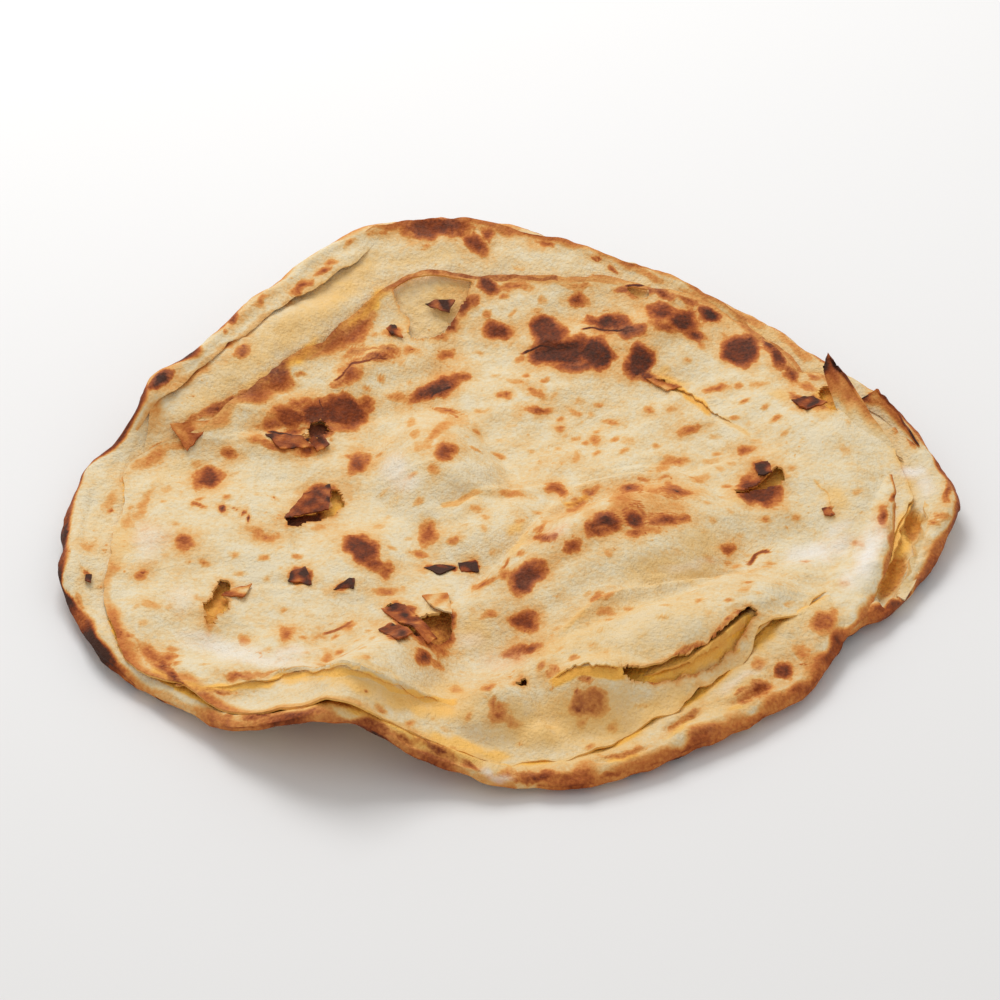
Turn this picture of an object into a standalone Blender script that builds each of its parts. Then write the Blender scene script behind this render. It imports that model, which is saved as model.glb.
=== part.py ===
"""A lachha paratha: a round tandoori flatbread of thin layers, built as one solid.

Three ragged sheets of dough lie on each other. The lowest reaches the rim, the middle one stops
a little inside it, and the top skin, with its blisters and tears, stops further in. The underside
rests on a flat middle, and the rim lifts off the table where the bread is bent.

Plan places are given in millimetres from the hub, a point near the bread's middle. Angles run
anticlockwise seen from above, from the right-hand side.
"""

import math

import bmesh
import bpy
import numpy as np

MM = 0.001
HUB = (-1.6, -5.8)

# Rim: angle, distance from the hub, and height of its underside over the table.
RIM = (
    (0, 128.0, 5.0), (9, 125.0, 6.5), (16, 122.5, 8.5), (24, 119.0, 9.5), (31, 114.5, 10.5),
    (44, 112.5, 12.0), (57, 110.0, 15.0), (68, 110.5, 18.0), (82, 114.5, 21.0), (91, 121.5, 22.0),
    (101, 125.0, 22.5), (110, 124.5, 22.5), (118, 119.5, 22.0), (128, 113.0, 21.0),
    (141, 108.0, 20.0), (150, 107.5, 19.0), (157, 113.0, 17.0), (162, 113.0, 13.0),
    (166, 116.5, 7.5), (170, 121.5, 4.5), (176, 124.0, 4.0), (188, 125.0, 4.0), (192, 127.0, 5.0),
    (200, 126.0, 3.0), (207, 125.0, 2.5), (214, 123.0, 2.0), (223, 118.5, 3.0), (230, 118.0, 4.5),
    (235, 116.5, 9.0), (241, 115.0, 15.0), (246, 112.0, 18.0), (252, 108.5, 14.0),
    (258, 108.5, 8.0), (265, 109.5, 4.0), (272, 111.5, 2.0), (280, 111.5, 1.5), (288, 110.5, 1.5),
    (296, 108.5, 2.0), (305, 107.5, 2.0), (318, 109.0, 2.0), (324, 107.0, 2.5), (332, 107.0, 3.0),
    (338, 112.5, 2.0), (346, 118.0, 2.0), (354, 123.0, 3.5),
)

# Free edge of the middle sheet: angle, distance from the hub, curl of the edge. The distance
# lies past the rim where the sheet reaches it.
MIDDLE_EDGE = (
    (4, 122.0, 0.5), (16, 119.0, 1.0), (26, 130.0, 0.0), (90, 135.0, 0.0), (158, 130.0, 0.0),
    (167, 112.0, 0.6), (174, 113.5, 0.8), (186, 113.5, 0.8), (192, 115.0, 0.6), (197, 117.5, 0.5),
    (201, 120.5, 0.5), (207, 122.0, 0.6), (219, 119.0, 0.7), (227, 115.5, 0.8), (233, 113.5, 0.8),
    (240, 110.5, 1.0), (248, 107.5, 1.2), (253, 105.0, 1.6), (259, 103.5, 1.6), (265, 103.5, 1.0),
    (276, 103.0, 1.0), (284, 101.0, 1.4), (293, 96.0, 1.0), (301, 94.5, 0.8), (309, 90.5, 2.2),
    (319, 92.0, 2.6), (327, 96.0, 1.6), (336, 101.0, 0.4), (347, 112.0, 0.2), (356, 118.0, 0.4),
)

# Free edge of the top skin: angle, distance from the hub, curl of the edge.
SKIN_EDGE = (
    (6, 114.0, 1.0), (14, 110.5, 1.6), (24, 109.5, 2.4), (30, 109.0, 3.0), (34, 103.5, 0.8),
    (43, 102.5, 0.5), (56, 104.0, 0.5), (65, 102.0, 0.8), (73, 96.5, 0.5), (82, 95.5, 0.3),
    (92, 93.0, 0.4), (102, 97.5, 1.0), (110, 95.0, 1.6), (117, 88.0, 2.2), (127, 80.5, 2.6),
    (136, 80.0, 2.4), (145, 80.5, 1.6), (153, 83.0, 0.9), (161, 90.0, 0.8), (166, 102.0, 0.9),
    (172, 109.0, 1.2), (179, 108.5, 1.4), (186, 110.5, 1.0), (193, 112.5, 0.8), (201, 117.0, 0.8),
    (207, 119.0, 1.0), (213, 119.5, 1.4), (219, 116.0, 1.6), (225, 111.5, 1.2), (230, 104.5, 1.0),
    (237, 98.5, 1.0), (245, 96.0, 1.4), (251, 96.0, 2.0), (256, 93.5, 1.8), (263, 87.0, 0.8),
    (272, 82.0, 0.8), (287, 82.5, 1.6), (302, 86.0, 2.6), (311, 87.5, 3.8), (318, 87.5, 4.2),
    (323, 88.5, 2.6), (330, 95.0, 0.8), (340, 102.5, 0.3), (352, 108.0, 0.3),
)

# Strip folded in over the rim at the far left: angle, distance of its inner edge, its height.
FAR_FOLD = (
    (88, 108.0, 0.0), (98, 104.0, 0.8), (108, 105.0, 1.8), (114, 104.5, 2.2), (123, 98.5, 2.4),
    (131, 97.0, 2.4), (144, 98.5, 2.4), (154, 102.5, 2.2), (162, 105.5, 1.6), (167, 112.0, 0.0),
    (200, 120.0, 0.0),
)

# Strip folded over the skin at the right: angle, inner edge, outer edge, height.
NEAR_FOLD = (
    (8, 112.0, 113.0, 0.0), (2, 110.0, 112.0, 1.6), (354, 102.5, 109.5, 3.0),
    (345, 100.0, 108.5, 3.2), (336, 99.5, 108.0, 2.8), (329, 96.0, 112.0, 1.6),
    (320, 96.0, 118.0, 0.0),
)

# Splits between the rim's thin layers: angle and distance from the hub at each end, and depth.
RIM_SPLITS = (
    (281, 106.0, 291, 105.0, 1.5), (293, 100.5, 302, 96.5, 1.5), (304, 100.0, 314, 101.5, 1.5),
    (222, 113.0, 233, 110.5, 1.2), (176, 117.5, 189, 119.0, 1.0),
)

# Blisters of the top skin and of the middle sheet, and the sunken places between them:
# centre x, centre y, length, width, turn of the length, height.
SKIN_BLISTERS = {
    "round blister": (-19, 17, 40, 54, 10, 11.0),
    "long blister": (27, -27, 104, 48, 40, 12.0),
    "long blister's crest": (22, -15, 74, 26, 42, 5.0),
    "saddle between them": (-4, -10, 42, 30, 25, 5.0),
    "open blister": (36, -60, 112, 44, 27, 8.5),
    "open blister's lip": (52, -62, 54, 26, 25, 3.0),
    "crest of the wave": (-34, -76, 66, 30, 66, 6.5),
    "left swell": (-76, -4, 60, 76, 0, 2.6),
    "left mound": (-42, -24, 34, 34, 0, 3.0),
    "far ridge": (30, 70, 84, 30, 6, 3.4),
    "far left ridge": (-40, 60, 66, 26, 48, 3.0),
    "right fan": (88, 24, 74, 44, -56, 4.0),
    "lower left cushion": (-84, -74, 40, 18, -34, 2.0),
    "low left swell": (-64, -66, 34, 26, 20, 3.2),
}
SKIN_HOLLOWS = {
    "lower left valley": (-75, -60, 50, 24, -38, -3.6),
    "trough beside the wave": (-10, -66, 50, 34, 50, -3.0),
    "centre trough": (4, 28, 70, 40, 20, -2.2),
    "right trough": (80, -16, 56, 26, -10, -2.6),
    "crease under the long blister": (40, -44, 76, 12, 34, -2.6),
    "left trough": (-52, 4, 30, 50, 70, -1.8),
}
MIDDLE_BLISTERS = {
    "near dome": (-3, -90, 26, 22, 0, 4.6),
    "near cushion": (23, -86, 34, 22, 10, 4.6),
    "wave's second layer": (-40, -98, 44, 14, 0, 1.5),
}

# Places where the skin has burst and the sheet below shows: x, y, length, width, turn.
TEARS = {
    "far window": (-20, 88, 24, 20, 30),
    "far right window": (40, 99, 14, 9, -10),
    "dark crack": (12, 67, 22, 4, 2),
    "far right crack": (38, 79, 24, 4, 4),
    "left patch": (-54, 26, 20, 7, 35),
    "left hole": (-53, -7, 20, 9, 20),
    "low left hole": (-80, -49, 11, 18, -10),
    "broken crust": (-21, -60, 22, 10, -30),
    "right window": (73, 2, 15, 7, 35),
    "right slit": (92, -8, 18, 5, -62),
    "window by the flap": (91, 44, 14, 8, -15),
    "small hole": (5, -82, 4, 3, 40),
    "broken edge": (40, 48, 20, 6, -25),
}

# Flakes that stand off the surface: base from, base to, height at each end, lean.
FLAKES = {
    "pointed flap": ((95, 50), (110, 12), 11.0, 0.8, 4),
    "rim flake": ((105, 43), (115, 24), 3.5, 1.0, 8),
    "overhanging flake": ((48, 50), (31, 53), 2.5, 4.0, -52),
    "left flake": ((-84, 30), (-98, 25), 2.0, 4.0, -58),
    "broken crust flake": ((-12, -58), (-30, -58), 4.0, 3.0, -45),
    "left patch flake": ((-44, 34), (-60, 24), 2.5, 3.5, -50),
}

# Thicknesses of the lowest sheet and of each sheet on it, and the least that a tear leaves.
BASE_THICK = 3.9
SHEET_THICK = 1.25
LEAST_THICK = 2.4

# The rim is rounded over this distance, about this share of the way up its thickness, and its
# rolled bead stands this high. Underneath, the bread is flat out to this share of its rim.
MEAN_RIM = 115.0
RIM_ROUNDING = 3.4
RIM_LEVEL = 0.45
BEAD_HEIGHT = 1.1
BEAD_INSET = 4.0
BEAD_WIDTH = 3.4
FLAT_SHARE = 0.46

# A free edge rises over its ramp and curls up over its reach, with a crevice at its foot.
EDGE_RAMP = 0.9
EDGE_CURL_REACH = 7.0
CREVICE_DEPTH = 1.5
CREVICE_WIDTH = 1.9
FOLD_CREVICE = 0.4
TEAR_DEPTH = 2.4
SPLIT_WIDTH = 1.6

# The pocket under the right-hand strip: its share of the strip's height, and the crust left
# standing between it and the rim.
POCKET_SHARE = 0.95
POCKET_CRUST = 3.5

# Unevenness of the dough: height and wavelength of the waves on top, and of the dimples below.
SLOW_WAVE = (0.5, 34.0)
QUICK_WAVE = (0.25, 13.0)
DIMPLES = (0.35, 9.0)

FLAKE_THICK = 1.3
FLAKE_ROOT = 2.0
FLAKE_NOTCHES = 0.35

SECTORS = 360
RINGS = 116
RIM_RINGS = 11
MOST_TRIANGLES = 10400


def around(table, column, angle):
    """A smooth closed curve through one column of a table, read at the given angles."""
    rows = sorted(table)
    knots = np.array([row[0] for row in rows], float)
    values = np.array([row[column] for row in rows], float)
    knots = np.concatenate((knots[-2:] - 360, knots, knots[:2] + 360))
    values = np.concatenate((values[-2:], values, values[:2]))
    slopes = np.gradient(values, knots)
    at = np.mod(angle, 360)
    i = np.searchsorted(knots, at, side="right") - 1
    span = knots[i + 1] - knots[i]
    t = (at - knots[i]) / span
    near = (1 + 2 * t) * (1 - t) ** 2 * values[i] + t * (1 - t) ** 2 * slopes[i] * span
    far = t * t * (3 - 2 * t) * values[i + 1] + t * t * (t - 1) * slopes[i + 1] * span
    return near + far


def smooth_step(value):
    t = np.clip(value, 0, 1)
    return t * t * (3 - 2 * t)


def ripple(x, y, wavelength, seed):
    """Even unevenness of about unit size: plane waves in random directions, summed."""
    rng = np.random.default_rng(seed)
    total = np.zeros_like(x)
    for turn, phase, stretch in rng.uniform((0, 0, 0.7), (math.pi, 2 * math.pi, 1.4), (9, 3)):
        number = 2 * math.pi / (wavelength * stretch)
        total += np.sin(number * (x * math.cos(turn) + y * math.sin(turn)) + phase)
    return total / 3


def ragged(angle, reach, seed):
    """In and out wander of a torn edge, in millimetres."""
    slow = ripple(angle, 0 * angle, 9.0, seed)
    quick = ripple(angle, 0 * angle, 2.6, seed + 1)
    return reach * (0.6 * slow + 0.4 * quick)


def oval(x, y, shape):
    """Squared distance from the centre of an oval, 1 on its outline."""
    centre_x, centre_y, length, width, turn = shape[:5]
    c, s = math.cos(math.radians(turn)), math.sin(math.radians(turn))
    along = ((x - centre_x) * c + (y - centre_y) * s) / (length / 2)
    across = ((y - centre_y) * c - (x - centre_x) * s) / (width / 2)
    return along**2 + across**2


def splits(angle, reach):
    """Depth of the narrow grooves along the rim."""
    depth = np.zeros_like(reach)
    for from_angle, from_reach, to_angle, to_reach, deep in RIM_SPLITS:
        along = (np.mod(angle, 360) - from_angle) / (to_angle - from_angle)
        aside = reach - from_reach - (to_reach - from_reach) * along
        ends = smooth_step(4 * along) * smooth_step(4 * (1 - along))
        depth += deep * ends * np.exp(-((aside / SPLIT_WIDTH) ** 2))
    return depth


def domes(x, y, shapes):
    return sum(s[5] * np.clip(1 - oval(x, y, s), 0, 1) ** 1.3 for s in shapes.values())


def torn(x, y):
    """1 in the burst places and 0 outside them."""
    wander = 0.28 * ripple(x, y, 7.0, 31)
    inside = [smooth_step(4 * (1 + wander - oval(x, y, s))) for s in TEARS.values()]
    return np.max(inside, axis=0)


def underside(angle, share):
    """Height of the underside: flat in the middle and lifted towards the rim."""
    lift = around(RIM, 2, angle)
    return lift * smooth_step((share - FLAT_SHARE) / (1.06 - FLAT_SHARE)) ** 1.1


def sheet_edge(inset, curl):
    """Height of a sheet's free edge over what it lies on, with the crevice at its foot."""
    on = smooth_step(inset / EDGE_RAMP + 0.5)
    lip = curl * np.exp(-np.clip(inset, 0, None) / EDGE_CURL_REACH)
    crevice = CREVICE_DEPTH * np.exp(-(((inset + CREVICE_WIDTH) / CREVICE_WIDTH) ** 2))
    fade = smooth_step(curl / 0.6)
    return on, on * (SHEET_THICK + lip) - (1 - on) * crevice * fade


def far_fold(angle, reach):
    """Height that the strip folded in over the far left rim adds, with the crevice beside it."""
    height = around(FAR_FOLD, 2, angle)
    inset = reach - around(FAR_FOLD, 1, angle) - ragged(angle, 0.9, 41)
    crevice = np.exp(-(((inset + CREVICE_WIDTH) / CREVICE_WIDTH) ** 2))
    return height * (smooth_step(inset / EDGE_RAMP + 0.5) - FOLD_CREVICE * crevice)


def near_fold(angle, reach, rim):
    """Height that the strip folded over the skin at the right adds, less the pocket it leaves."""
    height = around(NEAR_FOLD, 3, angle)
    inner = reach - around(NEAR_FOLD, 1, angle) - ragged(angle, 0.5, 51)
    outer = around(NEAR_FOLD, 2, angle) + ragged(angle, 0.8, 61) - reach
    on_strip = smooth_step(inner / 3 + 0.5) * smooth_step(outer / EDGE_RAMP + 0.5)
    gape = smooth_step((2 - outer) / 2) * smooth_step((rim - reach - POCKET_CRUST) / 2)
    where_high = smooth_step((height - 1.6) / 1.2)
    return height * (on_strip - POCKET_SHARE * gape * where_high)


def top_side(x, y, angle, reach):
    """Height of the bread's top over its underside."""
    rim = around(RIM, 1, angle)
    on_middle, middle = sheet_edge(
        around(MIDDLE_EDGE, 1, angle) + ragged(angle, 0.8, 11) - reach,
        around(MIDDLE_EDGE, 2, angle),
    )
    on_skin, skin = sheet_edge(
        around(SKIN_EDGE, 1, angle) + ragged(angle, 1.0, 21) - reach,
        around(SKIN_EDGE, 2, angle),
    )
    bead = np.exp(-(((rim - reach - BEAD_INSET) / BEAD_WIDTH) ** 2)) * (1 - on_middle)
    height = BASE_THICK + BEAD_HEIGHT * bead
    height += middle + on_middle * domes(x, y, MIDDLE_BLISTERS)
    height += skin + on_skin * (domes(x, y, SKIN_BLISTERS) + domes(x, y, SKIN_HOLLOWS))
    height -= TEAR_DEPTH * on_skin * torn(x, y)
    height += far_fold(angle, reach) + near_fold(angle, reach, rim) - splits(angle, reach)
    for seed, (size, wavelength) in enumerate((SLOW_WAVE, QUICK_WAVE), 5):
        height += size * ripple(x, y, wavelength, seed)
    return np.maximum(height, LEAST_THICK)


def place_on_bread(points):
    """Moves the points of a unit ball onto the bread's surface, in millimetres."""
    angle = np.degrees(np.arctan2(points[:, 1], points[:, 0]))
    latitude = np.degrees(np.arcsin(np.clip(points[:, 2], -1, 1)))
    ring = (90 - np.abs(latitude)) / 90
    flat = 1 - RIM_RINGS / RINGS
    turn = np.clip((ring - flat) / (1 - flat), 0, 1) * math.pi / 2
    rounding = RIM_ROUNDING / MEAN_RIM
    share = np.minimum(ring / flat, 1) * (1 - rounding) + rounding * np.sin(turn)
    rim = around(RIM, 1, angle) + ragged(angle, 0.7, 1)
    reach = share * rim
    across, along = np.cos(np.radians(angle)), np.sin(np.radians(angle))
    x, y = reach * across, reach * along
    low = underside(angle, share)
    low += DIMPLES[0] * ripple(x, y, DIMPLES[1], 8) * smooth_step(4 * (share - FLAT_SHARE) - 0.8)
    thick = top_side(x, y, angle, reach)
    level = low + RIM_LEVEL * thick
    above = np.cos(turn) * (1 - RIM_LEVEL) * thick
    below = np.cos(turn) * RIM_LEVEL * thick
    z = np.where(latitude >= 0, level + above, level - below)
    return np.stack((x + HUB[0], y + HUB[1], np.maximum(z, 0)), axis=1)


def dough(name, colour, roughness):
    material = bpy.data.materials.new(name)
    material.use_nodes = True
    shader = material.node_tree.nodes["Principled BSDF"]
    shader.inputs["Base Color"].default_value = colour
    shader.inputs["Roughness"].default_value = roughness
    shader.inputs["Metallic"].default_value = 0.0
    return material


def make_bread(collection):
    """A closed ball whose points are moved onto the bread's top, rim and underside."""
    mesh = bpy.data.meshes.new("paratha")
    bm = bmesh.new()
    bmesh.ops.create_uvsphere(bm, u_segments=SECTORS, v_segments=2 * RINGS, radius=1)
    bm.to_mesh(mesh)
    bm.free()
    points = np.empty(len(mesh.vertices) * 3)
    mesh.vertices.foreach_get("co", points)
    points = place_on_bread(points.reshape(-1, 3)) * MM
    mesh.vertices.foreach_set("co", points.ravel())
    bread = bpy.data.objects.new("paratha", mesh)
    collection.objects.link(bread)
    fewer = bread.modifiers.new("fewer faces", "DECIMATE")
    fewer.ratio = MOST_TRIANGLES / sum(len(face.vertices) - 2 for face in mesh.polygons)
    apply_modifiers(bread)
    return bread


def surface_height(x, y):
    """Height of the bread's top at a plan place given from the hub."""
    x, y = np.atleast_1d(float(x)), np.atleast_1d(float(y))
    angle, reach = np.degrees(np.arctan2(y, x)), np.hypot(x, y)
    share = reach / around(RIM, 1, angle)
    return float((underside(angle, share) + top_side(x, y, angle, reach))[0])


def make_flake(name, base_from, base_to, height_from, height_to, lean, collection):
    """A thin leaf that stands on a base line, tapers along it and curls over as it rises."""
    columns, rows = 7, 3
    bm = bmesh.new()
    bmesh.ops.create_grid(bm, x_segments=columns, y_segments=rows, size=0.5)
    run = np.array(base_to, float) - base_from
    outward = np.array((run[1], -run[0])) / np.hypot(*run)
    if outward @ np.array(base_from) < 0:
        outward = -outward
    for vertex in bm.verts:
        along, up = vertex.co.x + 0.5, vertex.co.y + 0.5
        tip = height_from + (height_to - height_from) * along
        tip *= 1 - FLAKE_NOTCHES * abs(math.sin(9 * along + len(name)))
        rise = up * (tip + FLAKE_ROOT) - FLAKE_ROOT
        bend = math.radians(lean) * (0.4 + 0.6 * up)
        x, y = np.array(base_from) + along * run + outward * rise * math.sin(bend)
        ground = surface_height(*(np.array(base_from) + along * run))
        vertex.co = (x + HUB[0], y + HUB[1], ground + rise * math.cos(bend))
    bmesh.ops.scale(bm, vec=(MM, MM, MM), verts=bm.verts)
    mesh = bpy.data.meshes.new(name)
    bm.to_mesh(mesh)
    bm.free()
    flake = bpy.data.objects.new(name, mesh)
    collection.objects.link(flake)
    thick = flake.modifiers.new("thickness", "SOLIDIFY")
    thick.thickness = FLAKE_THICK * MM
    thick.offset = 0
    apply_modifiers(flake)
    return flake


def apply_modifiers(thing):
    """Gives an object the mesh that its modifiers make."""
    bpy.context.view_layer.update()
    graph = bpy.context.evaluated_depsgraph_get()
    mesh = bpy.data.meshes.new_from_object(thing.evaluated_get(graph))
    thing.modifiers.clear()
    thing.data = mesh


def fuse(bread, flakes):
    """Joins the flakes to the bread in one Boolean union, and removes them."""
    union = bread.modifiers.new("flakes", "BOOLEAN")
    union.operation = "UNION"
    union.operand_type = "COLLECTION"
    union.collection = flakes
    union.solver = "EXACT"
    apply_modifiers(bread)
    for flake in list(flakes.objects):
        bpy.data.objects.remove(flake)
    bpy.data.collections.remove(flakes)


def main():
    for thing in list(bpy.data.objects):
        bpy.data.objects.remove(thing)
    parts = bpy.data.collections.new("lachha paratha")
    flakes = bpy.data.collections.new("flakes")
    for collection in (parts, flakes):
        bpy.context.scene.collection.children.link(collection)
    bread = make_bread(parts)
    for name, (base_from, base_to, height_from, height_to, lean) in FLAKES.items():
        make_flake(name, base_from, base_to, height_from, height_to, lean, flakes)
    fuse(bread, flakes)
    bread.data.materials.clear()
    bread.data.materials.append(dough("baked dough", (0.78, 0.55, 0.27, 1.0), 0.7))
    bread.data.shade_smooth()
    bread.data.set_sharp_from_angle(angle=math.radians(40))


main()
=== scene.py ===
# %% [markdown]
# # A lachha paratha
#
# A lachha paratha is a round flatbread of many thin layers, slapped onto the wall of a clay oven.
# This script dresses one: it starts from a plain solid of the bread, loaded as a fixed frame, and
# makes the lowest sheet with its crusty rim, a middle sheet, the blistered top skin with its tears,
# two folded strips, the layers torn loose on top and the loose flakes, each as its own mesh.
#
# Everything below is worked out in millimetres from the hub, a point near the bread's middle, and
# turned into metres when a mesh is finished.

# %% Load the frame
import math

import bmesh
import bpy
import numpy as np
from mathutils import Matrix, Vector


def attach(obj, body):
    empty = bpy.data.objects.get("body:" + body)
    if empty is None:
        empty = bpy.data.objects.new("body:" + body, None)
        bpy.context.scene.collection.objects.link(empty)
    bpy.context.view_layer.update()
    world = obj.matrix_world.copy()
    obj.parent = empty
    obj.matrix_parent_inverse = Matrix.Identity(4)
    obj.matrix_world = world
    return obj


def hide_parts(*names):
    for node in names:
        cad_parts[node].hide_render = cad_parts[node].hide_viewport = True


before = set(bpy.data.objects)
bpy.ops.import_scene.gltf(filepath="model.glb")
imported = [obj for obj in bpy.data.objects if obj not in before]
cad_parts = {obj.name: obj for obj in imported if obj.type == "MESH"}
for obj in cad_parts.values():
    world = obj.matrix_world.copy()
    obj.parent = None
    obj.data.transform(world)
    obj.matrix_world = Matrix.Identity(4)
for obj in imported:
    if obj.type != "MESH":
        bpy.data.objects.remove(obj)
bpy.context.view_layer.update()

MM = 0.001
HUB = (-1.6, -5.8)

# %% [markdown]
# ## Looking from where the photo was taken
#
# The outline of the bread was read from a photo, so the script needs to go both ways between a
# place on the bread and a pixel. A camera is an eye, a direction and a focal length; with those
# three, both ways are a few lines of arithmetic. The eye is 38 degrees above the table, 0.9 m away.

# %% The eye and the focal length
ELEVATION = math.radians(38)
EYE_DISTANCE = 900.0
PHOTO_SIDE = 1000
MM_PER_PIXEL = 0.283
AIM = np.array([-2.0, 3.0, 8.0])
BACK = np.array([0, -math.cos(ELEVATION), math.sin(ELEVATION)])
UP = np.array([0, math.sin(ELEVATION), math.cos(ELEVATION)])
EYE = AIM + BACK * EYE_DISTANCE
FOCAL_PIXELS = EYE_DISTANCE / MM_PER_PIXEL
SENSOR = 36.0

camera = bpy.data.cameras.new("camera")
camera.sensor_width = SENSOR
camera.lens = FOCAL_PIXELS / PHOTO_SIDE * SENSOR
camera_object = bpy.data.objects.new("camera", camera)
bpy.context.scene.collection.objects.link(camera_object)
camera_object.location = Vector(EYE + (*HUB, 0)) * MM
camera_object.rotation_euler = Vector(BACK).to_track_quat("Z", "Y").to_euler()
bpy.context.scene.camera = camera_object
print("lens", round(camera.lens, 1), "mm")

# %% [markdown]
# ## Curves that close on themselves
#
# A bread's edge is a ring: its distance from the hub changes with the angle. A short table of
# angles and distances, joined smoothly and closed, gives the rim and the free edge of each sheet.
# The tables are read from the photo a corner at a time, so every row is a corner or a bend.

# %% Tables of the rim and the sheet edges
# Rim: angle, distance from the hub, height of its underside over the table.
RIM = (
    (0, 128.0, 5.0), (9, 125.0, 6.5), (16, 122.5, 8.5), (24, 119.0, 9.5), (31, 114.5, 10.5),
    (44, 112.5, 12.0), (57, 110.0, 15.0), (68, 110.5, 18.0), (82, 114.5, 21.0), (91, 121.5, 22.0),
    (101, 125.0, 22.5), (110, 124.5, 22.5), (118, 119.5, 22.0), (128, 113.0, 21.0),
    (141, 108.0, 20.0), (150, 107.5, 19.0), (157, 113.0, 17.0), (162, 113.0, 13.0),
    (166, 116.5, 7.5), (170, 121.5, 4.5), (176, 124.0, 4.0), (188, 125.0, 4.0), (192, 127.0, 5.0),
    (200, 126.0, 3.0), (207, 125.0, 2.5), (214, 123.0, 2.0), (223, 118.5, 3.0), (230, 118.0, 4.5),
    (235, 116.5, 9.0), (241, 115.0, 15.0), (246, 112.0, 18.0), (252, 108.5, 14.0),
    (258, 108.5, 8.0), (265, 109.5, 4.0), (272, 111.5, 2.0), (280, 111.5, 1.5), (288, 110.5, 1.5),
    (296, 108.5, 2.0), (305, 107.5, 2.0), (318, 109.0, 2.0), (324, 107.0, 2.5), (332, 107.0, 3.0),
    (338, 112.5, 2.0), (346, 118.0, 2.0), (354, 123.0, 3.5),
)

# Free edge of the middle sheet: angle, distance, curl of the edge.
MIDDLE_EDGE = (
    (4, 107.0, 0.0), (16, 104.0, 0.0), (26, 103.0, 0.0), (40, 105.0, 0.2), (57, 107.0, 0.2),
    (70, 107.5, 0.2), (82, 111.0, 0.2), (91, 117.0, 0.2), (101, 121.0, 0.2), (110, 120.5, 0.2),
    (118, 116.0, 0.2), (128, 109.5, 0.2), (141, 104.5, 0.2), (152, 104.5, 0.2), (158, 108.0, 0.3),
    (165, 107.0, 0.4), (171, 105.0, 0.2), (178, 104.0, 0.0), (186, 105.5, 0.0), (192, 107.0, 0.0),
    (201, 111.0, 0.0), (207, 113.5, 0.0), (219, 111.0, 0.0), (227, 109.5, 0.0), (233, 108.0, 0.0),
    (240, 106.5, 0.2), (248, 103.0, 0.2), (253, 100.0, 0.2), (259, 98.5, 0.1), (265, 98.5, 0.0),
    (276, 98.0, 0.0), (282, 96.5, 0.0), (287, 95.0, 0.0), (293, 91.0, 0.0), (301, 90.0, 0.0),
    (309, 89.0, 0.0), (319, 88.0, 0.0), (327, 89.0, 0.0), (338, 92.0, 0.0), (347, 97.0, 0.0),
    (356, 103.0, 0.0),
)

# Free edge of the top skin: angle, distance, curl of the edge.
SKIN_EDGE = (
    (6, 114.0, 0.2), (14, 112.5, 0.4), (19, 111.0, 0.6), (24, 110.0, 0.8), (28, 109.0, 0.8),
    (31, 107.5, 0.8), (34, 103.5, 0.6), (39, 104.0, 0.4), (45, 105.3, 0.3), (50, 105.2, 0.3),
    (56, 104.2, 0.3), (62, 102.2, 0.4), (68, 100.4, 0.5), (73, 98.7, 0.4), (80, 97.2, 0.3),
    (86, 98.2, 0.3), (92, 99.2, 0.2), (97, 100.2, 0.2), (102, 102.5, 0.4), (108, 102.4, 0.8),
    (112, 98.8, 1.2), (117, 94.5, 1.4), (122, 90.6, 1.4), (128, 86.4, 1.8), (136, 85.8, 1.8),
    (146, 85.6, 1.2), (154, 87.6, 0.9), (160, 90.5, 0.8), (164, 96.2, 0.4), (167, 105.0, 0.2),
    (171, 109.6, 0.1), (176, 109.5, 0.1), (179, 108.4, 0.1), (186, 110.4, 0.1), (192, 112.0, 0.1),
    (198, 115.3, 0.2), (203, 117.8, 0.3), (207, 119.3, 0.3), (212, 120.5, 0.4), (217, 118.5, 0.4),
    (222, 116.5, 0.4), (227, 115.5, 0.4), (233, 113.5, 0.4), (240, 110.5, 0.4), (248, 107.5, 0.5),
    (253, 105.0, 0.4), (259, 103.8, 0.1), (265, 104.0, -0.4), (270, 104.0, -0.7), (276, 103.1, -0.8),
    (282, 101.2, -0.8), (287, 99.8, -0.8), (290, 98.0, -0.7), (293, 95.5, -0.6), (301, 94.0, -0.4),
    (309, 91.6, 0.1), (314, 90.2, 0.6), (320, 89.4, 0.9), (327, 91.0, 1.1), (333, 93.2, 0.8),
    (338, 95.6, 0.4), (343, 103.0, 0.2), (348, 107.4, 0.1), (353, 109.4, 0.1), (357, 111.6, 0.1),
    (1, 113.6, 0.1),
)

# Strip folded in over the far left rim: angle, distance of its inner edge, lift of that edge.
FAR_FOLD = (
    (97, 123.0, 0.0), (100, 119.5, 0.3), (103, 116.5, 0.6), (107, 113.4, 0.8), (112, 110.7, 1.0),
    (121, 104.6, 1.3), (126, 103.0, 1.3), (131, 101.0, 1.1), (137, 99.4, 1.0), (144, 98.9, 1.0),
    (150, 100.0, 0.9), (154, 101.7, 0.8), (162, 106.7, 0.6), (166, 112.3, 0.4),
)

# Strip folded over the skin at the right: angle, inner edge, outer edge, height of its crest.
NEAR_FOLD = (
    (6, 108.0, 110.4, 0.5), (2, 103.4, 110.8, 1.3), (358, 98.8, 109.8, 2.0),
    (353, 94.4, 108.9, 2.6), (346, 91.2, 108.0, 2.8), (340, 89.8, 107.8, 2.6),
    (335, 90.4, 107.8, 2.0), (331, 92.0, 106.6, 1.2), (326, 93.5, 104.5, 0.4),
)
print("rim corners:", len(RIM), "skin corners:", len(SKIN_EDGE))

# %% Reading a table
TURN = 360


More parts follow.
